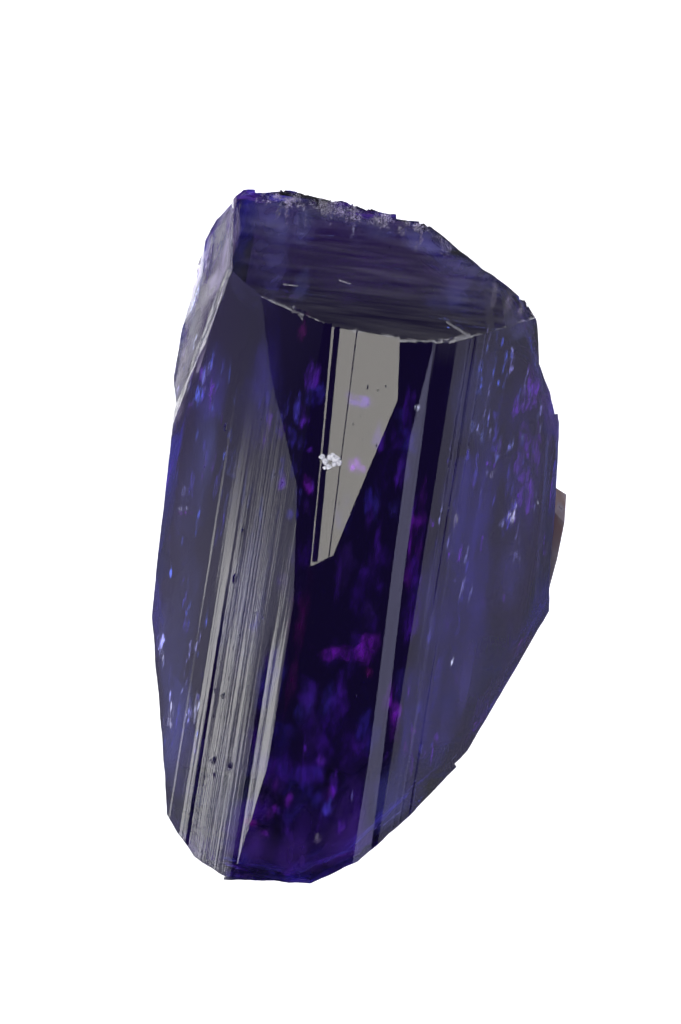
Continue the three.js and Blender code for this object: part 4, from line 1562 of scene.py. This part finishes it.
@dataclass
class SidePlate:
    """The thin stained plate that stands out of the right side."""

    bench: Workbench
    low: float = 5.6
    high: float = 9.4
    lean: float = -2.5
    gap: float = 0.015
    crisp_angle: float = 20.0
    soft_angle: float = 30.0

    def build(self, crystal: Solid, material: Material) -> Solid:
        """Cuts the plate and fits it against the crystal.

        Args:
            crystal: The crystal, still in millimetres, which the plate grows out of.
            material: Its finish.

        Returns:
            The finished plate.
        """
        reach = max(x for x, _ in PLATE_OUTLINE)
        turn = turned(self.lean, "Y")
        places = []
        for height in (0.0, self.high - self.low):
            for x, y in PLATE_OUTLINE[::-1]:
                places.append(turn @ Vector((x - reach, y, height)) + Vector((reach, 0.0, self.low)))
        count = len(PLATE_OUTLINE)
        faces = [tuple(range(count))[::-1], tuple(range(count, 2 * count))]
        faces += [(i, (i + 1) % count, (i + 1) % count + count, i + count) for i in range(count)]
        plate = self.bench.mark(self.bench.mesh_object("side_plate", places, faces), 0.0, 0.7)
        cutters = [
            CutPlane(cut, self.bench, seed=1500 + i * 9, spare=4.0, cell=0.12).relief_slab(places)
            for i, cut in enumerate(PLATE_CUTS)
        ]
        cutters.append(self.bench.shown("crystal_twin", crystal.data.copy()))
        plate = self.bench.cut(plate, cutters, "DIFFERENCE")
        plate.data.transform(Matrix.Translation((self.gap, 0.0, 0.0)))
        self.bench.sharpen(plate, self.crisp_angle, self.soft_angle)
        return self.bench.finish_piece(plate, material, "stained_edge")


@dataclass
class WhiteGrains:
    """The small white grains grown on the mirror facet's left edge."""

    bench: Workbench
    seed: int = 31
    detail: int = 4
    facets: int = 11
    levels: Pair = (0.65, 1.0)
    roundest: float = 0.85
    squash: Point = (1.0, 0.9, 0.75)

    def build(self, material: Material) -> Solid:
        """Shapes the grains as one piece.

        Args:
            material: Their finish.

        Returns:
            The finished grains.
        """
        shape = bmesh.new()
        for i, grain in enumerate(GRAINS):
            made = bmesh.ops.create_icosphere(shape, subdivisions=self.detail, radius=1.0)["verts"]
            unit = np.array([vertex.co for vertex in made])
            stream = np.random.default_rng(self.seed + i)
            ways = stream.normal(size=(self.facets, 3))
            ways /= np.linalg.norm(ways, axis=1)[:, None]
            reach = (unit @ ways.T / stream.uniform(*self.levels, self.facets)).max(axis=1)
            scale = grain.radius / np.maximum(reach, self.roundest)
            for vertex, place in zip(made, unit * scale[:, None] * np.array(self.squash) + np.array(grain.at)):
                vertex.co = place
        grains = self.bench.shaped("white_grains", shape)
        grains.data.shade_smooth()
        return self.bench.finish_piece(grains, material, "white_mineral")


@dataclass
class InnerVeils:
    """Thin flaws inside the crystal that glow by themselves in blue, violet and pale: painted flashes in place of the
    light that real flaws catch.
    """

    bench: Workbench
    name: str
    veils: tuple[Veil, ...] = ()
    swarms: tuple[Swarm, ...] = ()
    skins: tuple[Skin, ...] = ()
    top_cuts: tuple[str, ...] = ("end_face", "lower_end")
    segments: int = 14
    rings: tuple[float, ...] = (0.45, 0.75, 1.0)
    crumple: float = 0.05
    spread: float = 1.7
    tip: float = 12.0
    twist: float = 7.0
    ragged: Pair = (0.7, 1.15)
    margin: float = 0.07
    shrink: float = 0.82
    least: float = 0.2
    draws: int = 12
    tries: int = 300
    hollow_margin: float = 1.02
    towards_corners: float = 0.7
    crease: float = 0.35
    outs: np.ndarray = field(init=False)
    limits: np.ndarray = field(init=False)

    def __post_init__(self) -> None:
        """Works out the planes that the flaws stay behind."""
        planes = bounding_planes()
        self.outs = np.array([out for _, out in planes])
        self.limits = np.array([at.dot(out) for at, out in planes]) - self.margin

    def drawn(self, kind: Swarm | Skin, at: Pair, stream: np.random.Generator) -> Veil:
        """Draws one flaw of a group.

        Args:
            kind: The group.
            at: The flaw's place seen from above.
            stream: The source of its depth, size and look.

        Returns:
            The flaw.
        """
        pairs = (kind.depth, kind.width, kind.length, kind.glow, kind.cover)
        depth, width, length, glow, cover = (stream.uniform(*pair) for pair in pairs)
        return Veil(at, depth, width, length, kind.colours[stream.integers(len(kind.colours))], glow, cover)

    def scattered(self, stream: np.random.Generator) -> list[Veil]:
        """Scatters the flaws of the swarms.

        Args:
            stream: The source of their places and sizes.

        Returns:
            The flaws.
        """
        return [
            self.drawn(swarm, tuple(stream.uniform(swarm.low, swarm.high)), stream)
            for swarm in self.swarms
            for _ in range(swarm.count)
        ]

    def front_at(self, x: float, y: float) -> Plane:
        """Finds the front surface above a place.

        Args:
            x: The place across the prism.
            y: The place along it.

        Returns:
            The point on the surface and the way out of it.
        """
        planes = []
        for face, after in list(zip(PRISM_FACES, FACES_AFTER))[FRONT_FACES]:
            (start_x, start_z), (end_x, end_z) = face.start, after.start
            planes.append((Vector((start_x, 0.0, start_z)), Vector((-(end_z - start_z), 0.0, end_x - start_x))))
        planes += [(Vector(cut.at), Vector(cut.out)) for cut in TRIM_CUTS if cut.name in self.top_cuts]
        heights = [at.z - (out.x * (x - at.x) + out.y * (y - at.y)) / out.z for at, out in planes]
        lowest = min(range(len(planes)), key=lambda number: heights[number])
        return Vector((x, y, heights[lowest])), planes[lowest][1].normalized()

    def sunk(self, veil: Veil) -> tuple[np.ndarray, Vector]:
        """Finds where a flaw lies so that it shows at its place from above.

        Args:
            veil: The flaw.

        Returns:
            Its middle and the way out of the front above it.
        """
        surface, out = self.front_at(*veil.at)
        level = math.sqrt(1.0 - (1.0 - out.z**2) / REFRACTION**2)
        sight = Vector((0.0, 0.0, -1.0)) / REFRACTION + out * (out.z / REFRACTION - level)
        return np.array(surface + sight * (veil.depth / -sight.z)), out

    def side_corners(self, side: str) -> tuple[Vector, list[Vector]]:
        """Finds one side of the stone.

        Args:
            side: A face's or cut's name, with its notch's name before it where it is in a notch.

        Returns:
            The way out of it, and its corners.
        """
        planes = bounding_planes()
        names = [face.name for face in PRISM_FACES] + [cut.name for cut in TRIM_CUTS]
        for notch in NOTCHES:
            for cut in notch.cuts:
                if side == notch.name + "_" + cut.name:
                    rest = [other.plane() for other in notch.cuts if other is not cut]
                    planes += [(at, -out) for at, out in rest] + [cut.plane()]
                    names += [""] * len(rest) + [side]
        at, out = planes.pop(len(names) - 1 - names[::-1].index(side))
        return out, footprint(at, out, planes)

    def below_sides(self, stream: np.random.Generator) -> list[tuple[np.ndarray, Vector, Veil]]:
        """Scatters the flaws just below the sides.

        Args:
            stream: The source of their places and sizes.

        Returns:
            The middle of each, the way out of its side, and the flaw.
        """
        flaws = []
        hollows = {shell.name: shell for shell in SHELLS}
        for skin in self.skins:
            for side, count in skin.sides.items():
                out, corners = (Vector(), []) if side in hollows else self.side_corners(side)
                for _ in range(count if corners or side in hollows else 0):
                    veil = self.drawn(skin, (0.0, 0.0), stream)
                    if corners:
                        shares = stream.dirichlet(np.full(len(corners), self.towards_corners))
                        middle = shares @ np.array(corners)
                        middle -= veil.depth * np.array(out)
                    else:
                        middle, out = self.behind_hollow(hollows[side], veil.depth, stream)
                    flaws.append((middle, out, veil))
        return flaws

    def behind_hollow(self, shell: Shell, depth: float, stream: np.random.Generator) -> tuple[np.ndarray, Vector]:
        """Finds a place in the stone behind a hollow's wall.

        Args:
            shell: The hollow.
            depth: How far behind its wall.
            stream: The source of the place.

        Returns:
            The place, and the way out of the stone there.
        """
        radii = np.array(shell.radii)
        for _ in range(self.tries):
            way = stream.normal(size=3)
            way /= np.linalg.norm(way)
            out = Vector(-way / radii).normalized()
            place = np.array(shell.at) + way * radii - depth * np.array(out)
            if not self.outside(place[None, :])[0]:
                break
        return place, out

    def outside(self, points: np.ndarray) -> np.ndarray:
        """Tells which points lie outside the stone, or too close below its surface.

        Args:
            points: The points, three columns.

        Returns:
            True for each such point.
        """
        missing = (points @ self.outs.T > self.limits).any(axis=1)
        for notch in NOTCHES:
            beyond = np.ones(len(points), dtype=bool)
            for cut in notch.cuts:
                beyond &= (points - np.array(cut.at)) @ np.array(cut.plane()[1]) > -self.margin
            missing |= beyond
        for shell in SHELLS:
            away = np.linalg.norm((points - np.array(shell.at)) / np.array(shell.radii), axis=1)
            missing |= away < self.hollow_margin
        for chip in CHIPS:
            local = (points - np.array(chip.at)) @ np.array(chip.turning(3))
            missing |= np.all(np.abs(local) < np.array(chip.size) / 2.0 + self.margin, axis=1)
        return missing

    def drawn_in(self, middle: np.ndarray, strays: np.ndarray) -> np.ndarray | None:
        """Draws a flaw's outer points in until all of it lies inside the stone.

        Args:
            middle: The flaw's middle.
            strays: How far each point lies from it, three columns.

        Returns:
            The points, or None where too little of the flaw would be left.
        """
        if self.outside(middle[None, :])[0]:
            return None
        shares = np.ones(len(strays))
        for _ in range(self.draws):
            missing = self.outside(middle + strays * shares[:, None])
            if not missing.any():
                break
            shares[missing] *= self.shrink
        if np.median(shares) < self.least or missing.any():
            return None
        return middle + strays * shares[:, None]

    def disc_faces(self, first: int) -> list[tuple[int, ...]]:
        """Lists the faces of one flaw: a fan round its middle, and rings round that.

        Args:
            first: The number of its middle point.

        Returns:
            Point numbers of each face.
        """
        steps = [(step, (step + 1) % self.segments) for step in range(self.segments)]
        made = [(first, first + 1 + step, first + 1 + after) for step, after in steps]
        for ring in range(len(self.rings) - 1):
            low, high = first + 1 + ring * self.segments, first + 1 + (ring + 1) * self.segments
            made += [(low + step, high + step, high + after, low + after) for step, after in steps]
        return made

    def build(self, material: Material) -> Solid:
        """Makes the veils as one piece.

        Args:
            material: Their finish.

        Returns:
            The finished veils.
        """
        stream = np.random.default_rng(len(self.veils) + 100 * len(self.skins))
        flaws = [(*self.sunk(veil), veil) for veil in [*self.veils, *self.scattered(stream)]]
        flaws += self.below_sides(stream)
        places, faces, fades, colours, glows, covers = [], [], [], [], [], []
        for number, (middle, out, veil) in enumerate(flaws):
            turn = Vector((0.0, 0.0, 1.0)).rotation_difference(out).to_matrix()
            turn = turn @ turned(stream.uniform(-self.tip, self.tip), "Y", 3)
            turn = turn @ turned(stream.uniform(-self.twist, self.twist), "Z", 3)
            points = [np.zeros(3)]
            for ring in self.rings:
                for step in range(self.segments):
                    angle = 2.0 * math.pi * step / self.segments
                    wobble = ring * stream.uniform(*self.ragged)
                    flat = (math.cos(angle) * veil.width, math.sin(angle) * veil.length, 0.0)
                    points.append(np.array(flat) * wobble * self.spread / 2.0)
            points = np.array(points)
            folds = layered_noise(points / self.crease + number * 9.1, 61, 2)
            points[:, 2] = folds * self.crumple * min(1.0, veil.width)
            shown = self.drawn_in(middle, points @ np.array(turn).T)
            if shown is None:
                continue
            made = self.disc_faces(len(places))
            places += list(shown)
            fades += [1.0] + [1.0 - ring for ring in self.rings for _ in range(self.segments)]
            faces += made
            colours += [(*veil.colour, 1.0)] * len(made)
            glows += [veil.glow] * len(made)
            covers += [veil.cover] * len(made)
        piece = self.bench.mesh_object(self.name, places, faces)
        mesh = piece.data
        mesh.shade_smooth()
        for name, where, values in (("fade", "POINT", fades), ("glow", "FACE", glows), ("cover", "FACE", covers)):
            mesh.attributes.new(name, "FLOAT", where).data.foreach_set("value", np.array(values, dtype=np.float32))
        tint = mesh.attributes.new("tint", "FLOAT_COLOR", "FACE")
        tint.data.foreach_set("color", np.array(colours, dtype=np.float32).ravel())
        return self.bench.finish_piece(piece, material, "tanzanite")


class NodeSheet:
    """Short ways to add shader nodes to one tree."""

    def __init__(self, tree: bpy.types.NodeTree) -> None:
        """Starts with an empty tree.

        Args:
            tree: The node tree of a material or a world.
        """
        self.tree = tree
        tree.nodes.clear()

    def node(self, kind: str, **settings: object) -> bpy.types.Node:
        """Adds a node.

        Args:
            kind: The node's type.
            settings: Its properties.

        Returns:
            The node.
        """
        made = self.tree.nodes.new(kind)
        for name, value in settings.items():
            setattr(made, name, value)
        return made

    def feed(self, socket: Socket, value: object) -> None:
        """Sets a socket to a number or colour, or links it to another socket.

        Args:
            socket: The socket.
            value: What it gets.
        """
        if isinstance(value, Socket):
            self.tree.links.new(value, socket)
        elif isinstance(value, tuple) and socket.type == "RGBA":
            socket.default_value = (*value, 1.0)
        else:
            socket.default_value = value

    def filled(self, kind: str, inputs: dict[str | int, object], **settings: object) -> bpy.types.Node:
        """Adds a node and feeds its sockets.

        Args:
            kind: The node's type.
            inputs: What each named or numbered socket gets.
            settings: The node's properties.

        Returns:
            The node.
        """
        made = self.node(kind, **settings)
        for name, value in inputs.items():
            self.feed(made.inputs[name], value)
        return made

    def math(self, operation: str, *values: object) -> Socket:
        """Adds a Math node.

        Args:
            operation: What it does.
            values: The numbers or sockets that it reads.

        Returns:
            Its result.
        """
        return self.filled("ShaderNodeMath", dict(enumerate(values)), operation=operation).outputs[0]

    def ramp(self, value: object, low: float, high: float, start: float = 0.0, end: float = 1.0) -> Socket:
        """Carries a value smoothly from one number to another between two limits.

        Args:
            value: The number or socket to read.
            low: Where the change starts.
            high: Where it ends.
            start: The result below the low limit.
            end: The result above the high limit.

        Returns:
            The result.
        """
        inputs = dict(enumerate((value, low, high, start, end)))
        return self.filled("ShaderNodeMapRange", inputs, interpolation_type="SMOOTHSTEP", clamp=True).outputs[0]

    def mix(self, share: object, first: object, second: object) -> Socket:
        """Mixes two colours.

        Args:
            share: How much of the second one there is.
            first: The first colour or socket.
            second: The second colour or socket.

        Returns:
            The mixed colour.
        """
        return self.filled("ShaderNodeMix", {0: share, 6: first, 7: second}, data_type="RGBA").outputs[2]

    def spots(self, scale: float, detail: float, stretch: Point = EVENLY) -> Socket:
        """Adds noise over the piece's own place.

        Args:
            scale: How many spots there are in a metre.
            detail: How much fine detail it has.
            stretch: How much finer or coarser it is along each direction.

        Returns:
            The noise, from 0 to 1.
        """
        place = self.node("ShaderNodeTexCoord").outputs["Object"]
        scaled = self.filled("ShaderNodeMapping", {"Vector": place, "Scale": stretch})
        inputs = {"Vector": scaled.outputs[0], "Scale": scale, "Detail": detail}
        return self.filled("ShaderNodeTexNoise", inputs).outputs[0]

    def mark(self, name: str) -> Socket:
        """Reads one of the mesh's own surface marks."""
        return self.node("ShaderNodeAttribute", attribute_name=name).outputs["Fac"]

    def surface(self, inputs: dict[str, object], bump: Bump | None = None, depth: Absorption | None = None) -> None:
        """Ends a material's tree with its surface, and with what happens to light inside it.

        Args:
            inputs: What each named socket of the surface shader gets.
            bump: Its fine relief, if any.
            depth: How it takes up light inside, if it does.
        """
        if bump:
            made = self.filled("ShaderNodeBump", {"Strength": bump[1], "Distance": bump[2], "Height": bump[0]})
            inputs["Normal"] = made.outputs[0]
        out = self.node("ShaderNodeOutputMaterial")
        self.feed(out.inputs["Surface"], self.filled("ShaderNodeBsdfPrincipled", inputs).outputs[0])
        if depth:
            inside = self.filled("ShaderNodeVolumeAbsorption", {"Color": depth[0], "Density": depth[1]})
            self.feed(out.inputs["Volume"], inside.outputs[0])


def new_material(name: str) -> tuple[Material, NodeSheet]:
    """Makes an empty material.

    Args:
        name: Its name.

    Returns:
        The material and the sheet for its nodes.
    """
    material = bpy.data.materials.new(name)
    material.use_nodes = True
    material.cycles.emission_sampling = "NONE"
    return material, NodeSheet(material.node_tree)


@dataclass(frozen=True)
class GemFinish:
    """Clear violet-blue crystal with growth lines, and matt where it broke."""

    absorption: Absorption = ((0.303, 0.0, 0.545), 590.0)
    polish: float = 0.0
    matt: float = 0.3

    def build(self) -> Material:
        """Makes the material.

        Returns:
            The material.
        """
        material, sheet = new_material("tanzanite")
        patches = sheet.ramp(sheet.spots(900.0, 1.0), 0.2, 0.8, 0.5, 1.2)
        rough = sheet.math("MULTIPLY", sheet.mark("broken"), patches)
        grain = sheet.math("MULTIPLY", sheet.spots(4200.0, 2.0), sheet.mark("broken"))
        lines = sheet.math("MULTIPLY", sheet.spots(11000.0, 1.0, (1.0, 0.007, 1.0)), sheet.mark("striated"))
        layers = sheet.math("MULTIPLY", sheet.spots(3000.0, 1.0, (0.14, 1.0, 1.0)), 0.3)
        layers = sheet.math("MULTIPLY", layers, sheet.mark("layered"))
        inputs = {
            "Base Color": WHITE,
            "IOR": REFRACTION,
            "Transmission Weight": 1.0,
            "Roughness": sheet.math("MULTIPLY_ADD", rough, self.matt, self.polish),
        }
        height = sheet.math("ADD", sheet.math("ADD", grain, lines), layers)
        sheet.surface(inputs, (height, 0.7, 0.000016), self.absorption)
        return material


@dataclass(frozen=True)
class VeilFinish:
    """Thin patchy film, denser in its middle, that glows with its own colour: painted light for the flashes and glow
    inside the stone.
    """

    name: str
    grain: float
    stretch: Point
    contrast: float
    edge: Pair
    fibre: float
    fibre_run: float
    between: float
    roughness: float = 0.35

    def build(self) -> Material:
        """Makes the material.

        Returns:
            The material.
        """
        material, sheet = new_material(self.name)
        tint = sheet.node("ShaderNodeAttribute", attribute_name="tint").outputs["Color"]
        spots = sheet.spots(self.grain, 2.0, self.stretch)
        shards = sheet.spots(self.grain * 0.45, 1.0, self.stretch)
        fibres = sheet.ramp(sheet.spots(self.fibre, 1.0, (1.0, self.fibre_run, 1.0)), 0.36, 0.62, self.between, 1.0)
        fade = sheet.ramp(sheet.mark("fade"), 0.0, 0.9)
        uneven = sheet.math("ADD", sheet.math("SUBTRACT", spots, 0.5), sheet.math("SUBTRACT", shards, 0.5))
        reach = sheet.math("ADD", fade, sheet.math("MULTIPLY", uneven, self.contrast))
        shown = sheet.math("MULTIPLY", sheet.ramp(reach, *self.edge), sheet.ramp(fade, 0.0, 0.4))
        shown = sheet.math("MULTIPLY", shown, fibres)
        inputs = {
            "Base Color": tint,
            "Emission Color": tint,
            # painted light: the film's own glow, stronger on its bright spots
            "Emission Strength": sheet.math("MULTIPLY", sheet.mark("glow"), sheet.ramp(spots, 0.42, 0.68, 0.35, 1.5)),
            "Roughness": self.roughness,
            "Alpha": sheet.math("MULTIPLY", shown, sheet.mark("cover")),
        }
        sheet.surface(inputs)
        return material


@dataclass(frozen=True)
class GrainFinish:
    """Frosty white mineral, a little clear at its thin places."""

    white: Colour = (0.92, 0.92, 0.94)
    shade: Colour = (0.6, 0.6, 0.66)

    def build(self) -> Material:
        """Makes the material.

        Returns:
            The material.
        """
        material, sheet = new_material("frosty_white")
        spots = sheet.spots(9000.0, 4.0)
        inputs = {
            "Base Color": sheet.mix(sheet.ramp(spots, 0.3, 0.7), self.shade, self.white),
            "Roughness": sheet.ramp(spots, 0.3, 0.7, 0.2, 0.5),
            "Transmission Weight": 0.15,
            "Coat Weight": 0.4,
        }
        sheet.surface(inputs, (spots, 0.6, 0.00001))
        return material


@dataclass(frozen=True)
class StainFinish:
    """Translucent plate with a brown iron stain that thins out to frosty grey."""

    brown: Colour = (0.09, 0.035, 0.035)
    frost: Colour = (0.13, 0.11, 0.15)
    absorption: Absorption = ((0.6, 0.42, 0.5), 5200.0)

    def build(self) -> Material:
        """Makes the material.

        Returns:
            The material.
        """
        material, sheet = new_material("stained_plate")
        spots = sheet.spots(1500.0, 5.0, (1.0, 0.5, 1.0))
        place = sheet.filled("ShaderNodeSeparateXYZ", {0: sheet.node("ShaderNodeTexCoord").outputs["Object"]})
        upper = sheet.ramp(place.outputs[1], -0.0005, 0.0035)
        stained = sheet.math("MULTIPLY", upper, sheet.ramp(spots, 0.3, 0.6))
        inputs = {
            "Base Color": sheet.mix(stained, self.frost, self.brown),
            "Roughness": sheet.ramp(spots, 0.3, 0.7, 0.25, 0.5),
            "IOR": REFRACTION,
            "Transmission Weight": 0.12,
        }
        sheet.surface(inputs, (spots, 0.6, 0.00003), self.absorption)
        return material


@dataclass(frozen=True)
class FloorFinish:
    """A plain pale studio floor that lights the stone a little from below."""

    colour: Colour = (0.9, 0.9, 0.9)
    glow: float = 0.75

    def build(self) -> Material:
        """Makes the material.

        Returns:
            The material.
        """
        material, sheet = new_material("pale_floor")
        inputs = {
            "Base Color": self.colour,
            "Roughness": 0.9,
            "Specular IOR Level": 0.0,
            "Emission Color": WHITE,
            "Emission Strength": self.glow,
        }
        sheet.surface(inputs)
        return material


@dataclass(frozen=True)
class LightPanel:
    """A soft-edged light. Its limits are degrees from overhead, towards +X and towards +Y."""

    name: str
    across: Pair
    along: Pair
    soft: float
    strength: Colour


@dataclass
class Studio:
    """The floor, the soft light all round and the camera."""

    bench: Workbench
    floor_drop: float = 0.00005
    floor_size: float = 3.0
    left_level: float = 0.4
    right_level: float = 0.6
    far_left: float = 0.7
    far_right: float = 1.7
    far_low: float = 0.03
    room_tint: Colour = (0.95, 0.95, 1.14)
    dark_middle: Pair = (-7.5, 0.0)
    dark_inner: float = 25.0
    dark_outer: float = 30.0
    dark_level: float = 0.04
    camera_at: Point = (-1.007, 1.159, 272.5)
    camera_turn: float = 9.0
    lens: float = 196.6
    panels: tuple[LightPanel, ...] = (
        LightPanel("mirror", (-13.0, -2.6), (-2.0, 9.0), 1.0, (3.3, 3.2, 2.85)),
        LightPanel("ribbon", (21.5, 27.0), (-60.0, 60.0), 1.4, (0.42, 0.42, 0.8)),
        LightPanel("left_low", (-80.0, -38.0), (-60.0, 0.3), 1.6, (0.4, 0.4, 0.47)),
        LightPanel("left_silver", (-58.0, -48.0), (-30.0, -0.2), 1.5, (4.0, 4.0, 3.75)),
        LightPanel("rim", (-40.0, 40.0), (38.0, 47.0), 2.0, (4.0, 4.0, 4.0)),
        LightPanel("fill_high", (-50.0, 50.0), (50.0, 62.0), 4.0, (2.2, 2.2, 2.2)),
        LightPanel("fill_low", (-50.0, 50.0), (-64.0, -42.0), 5.0, (2.6, 2.6, 2.6)),
    )

    def build_floor(self, material: Material) -> Solid:
        """Lays the floor just below the stone.

        Args:
            material: Its finish.

        Returns:
            The floor.
        """
        half = self.floor_size / 2.0
        corners = [(x * half, y * half, -self.floor_drop) for x, y in SQUARE]
        floor = self.bench.mesh_object("floor", corners, [(0, 1, 2, 3)])
        floor.data.materials.append(material)
        return floor

    def build_light(self) -> None:
        """Lights the room from all round, with a dark zone overhead and soft panels."""
        world = bpy.data.worlds.new("soft_studio")
        world.use_nodes = True
        world.cycles.sampling_method = "NONE"
        bpy.context.scene.world = world
        sheet = NodeSheet(world.node_tree)
        place = sheet.node("ShaderNodeTexCoord").outputs["Generated"]
        x, y, z = sheet.filled("ShaderNodeSeparateXYZ", {0: place}).outputs
        across = sheet.math("DEGREES", sheet.math("ARCTAN2", x, z))
        along = sheet.math("DEGREES", sheet.math("ARCSINE", y))
        left, up = (math.radians(angle) for angle in self.dark_middle)
        way = Vector((math.sin(left) * math.cos(up), math.sin(up), math.cos(left) * math.cos(up)))
        dot = sheet.filled("ShaderNodeVectorMath", {0: place, 1: way}, operation="DOT_PRODUCT")
        away = sheet.math("DEGREES", sheet.math("ARCCOSINE", dot.outputs["Value"]))
        room = sheet.mix(sheet.ramp(across, -20.0, 25.0), self.tinted(self.left_level), self.tinted(self.right_level))
        sky = sheet.mix(sheet.ramp(x, -0.12, -0.03), (self.far_left,) * 3, (self.far_right,) * 3)
        far_end = sheet.mix(sheet.ramp(z, 0.0, 0.22), (self.far_low,) * 3, sky)
        room = sheet.mix(sheet.ramp(along, 62.0, 72.0), room, far_end)
        total = sheet.mix(sheet.ramp(away, self.dark_inner, self.dark_outer), (self.dark_level,) * 3, room)
        for panel in self.panels:
            sides = ((across, panel.across), (along, panel.along))
            mask = sheet.math("MULTIPLY", *(self.band(sheet, angle, limits, panel.soft) for angle, limits in sides))
            lit = sheet.filled("ShaderNodeVectorMath", {0: panel.strength, "Scale": mask}, operation="SCALE")
            total = sheet.filled("ShaderNodeVectorMath", {0: total, 1: lit.outputs[0]}, operation="ADD").outputs[0]
        light = sheet.filled("ShaderNodeBackground", {"Color": total})
        sheet.filled("ShaderNodeOutputWorld", {"Surface": light.outputs[0]})

    def tinted(self, level: float) -> Colour:
        """The room's light at a level, a little cool."""
        return tuple(level * share for share in self.room_tint)

    def band(self, sheet: NodeSheet, angle: Socket, limits: Pair, soft: float) -> Socket:
        """Makes a value that is 1 between two angles and fades to 0 outside them.

        Args:
            sheet: Where the nodes go.
            angle: The angle to read.
            limits: The two angles.
            soft: Over how many degrees it fades.

        Returns:
            The value.
        """
        rise = sheet.ramp(angle, limits[0] - soft, limits[0] + soft)
        fall = sheet.ramp(angle, limits[1] - soft, limits[1] + soft, 1.0, 0.0)
        return sheet.math("MULTIPLY", rise, fall)

    def build_camera(self) -> None:
        """Hangs the camera straight above the stone, turned as the picture is."""
        lens = bpy.data.cameras.new("camera")
        lens.lens = self.lens
        lens.sensor_fit = "VERTICAL"
        lens.sensor_height = 36.0
        lens.clip_start = 0.01
        camera = self.bench.shown("camera", lens)
        camera.location = self.bench.placed(self.camera_at)
        camera.rotation_euler = (0.0, 0.0, math.radians(self.camera_turn))
        bpy.context.scene.camera = camera


def set_up_picture() -> None:
    """Keeps colours plain and lets light pass many times through the stone."""
    scene = bpy.context.scene
    scene.view_settings.view_transform = "Standard"
    scene.cycles.max_bounces = 9
    scene.cycles.diffuse_bounces = 1
    scene.cycles.transmission_bounces = 8
    scene.cycles.transparent_max_bounces = 12
    scene.cycles.caustics_refractive = True
    scene.cycles.caustics_reflective = True


def main() -> None:
    """Builds the crystal and its studio."""
    bench = Workbench()
    set_up_picture()
    studio = Studio(bench)
    studio.build_camera()
    studio.build_light()
    studio.build_floor(FloorFinish().build())
    crystal = CrystalBody(bench).build()
    plate = SidePlate(bench).build(crystal, StainFinish().build())
    bench.finish_piece(crystal, GemFinish().build(), "tanzanite")
    # These three finishes glow by themselves: their glow is painted light inside the stone.
    fine = VeilFinish("pale_flaws_painted_light", 6000.0, (1.0, 0.3, 1.0), 2.6, (0.3, 1.3), 15000.0, 0.12, 0.1).build()
    violet_glow = VeilFinish("violet_flaws_painted_glow", 1300.0, (1.0, 0.6, 1.0), 1.8, (0.2, 1.3), 5000.0, 0.3, 0.4).build()
    soft = VeilFinish("blue_painted_glow", 420.0, (1.0, 0.3, 1.0), 1.4, (0.0, 1.2), 1600.0, 0.05, 0.55).build()
    pieces = [
        crystal,
        plate,
        WhiteGrains(bench).build(GrainFinish().build()),
        # The veil pieces glow with painted light; the dark sheets among them paint shade.
        InnerVeils(bench, "flaws_with_painted_light_near_front", SURFACE_VEILS, FRONT_SWARMS).build(fine),
        InnerVeils(bench, "deep_flaws_with_painted_glow", DEEP_VEILS, DEEP_SWARMS, crumple=0.12).build(violet_glow),
        InnerVeils(bench, "painted_glow_near_front", PAINTED_GLOW_VEILS, crumple=0.1).build(soft),
        InnerVeils(bench, "painted_shade_and_glow_at_ends", END_VEILS, crumple=0.1).build(soft),
        InnerVeils(bench, "painted_glow_near_sides", skins=SIDE_PAINTED_GLOW, crumple=0.1).build(soft),
        InnerVeils(bench, "flaws_with_painted_light_near_sides", skins=SIDE_FLASHES).build(fine),
    ]
    for piece in pieces:
        triangles = sum(len(face.vertices) - 2 for face in piece.data.polygons)
        LOG.info("%s: %d triangles", piece.name, triangles)


if __name__ == "__main__":
    main()
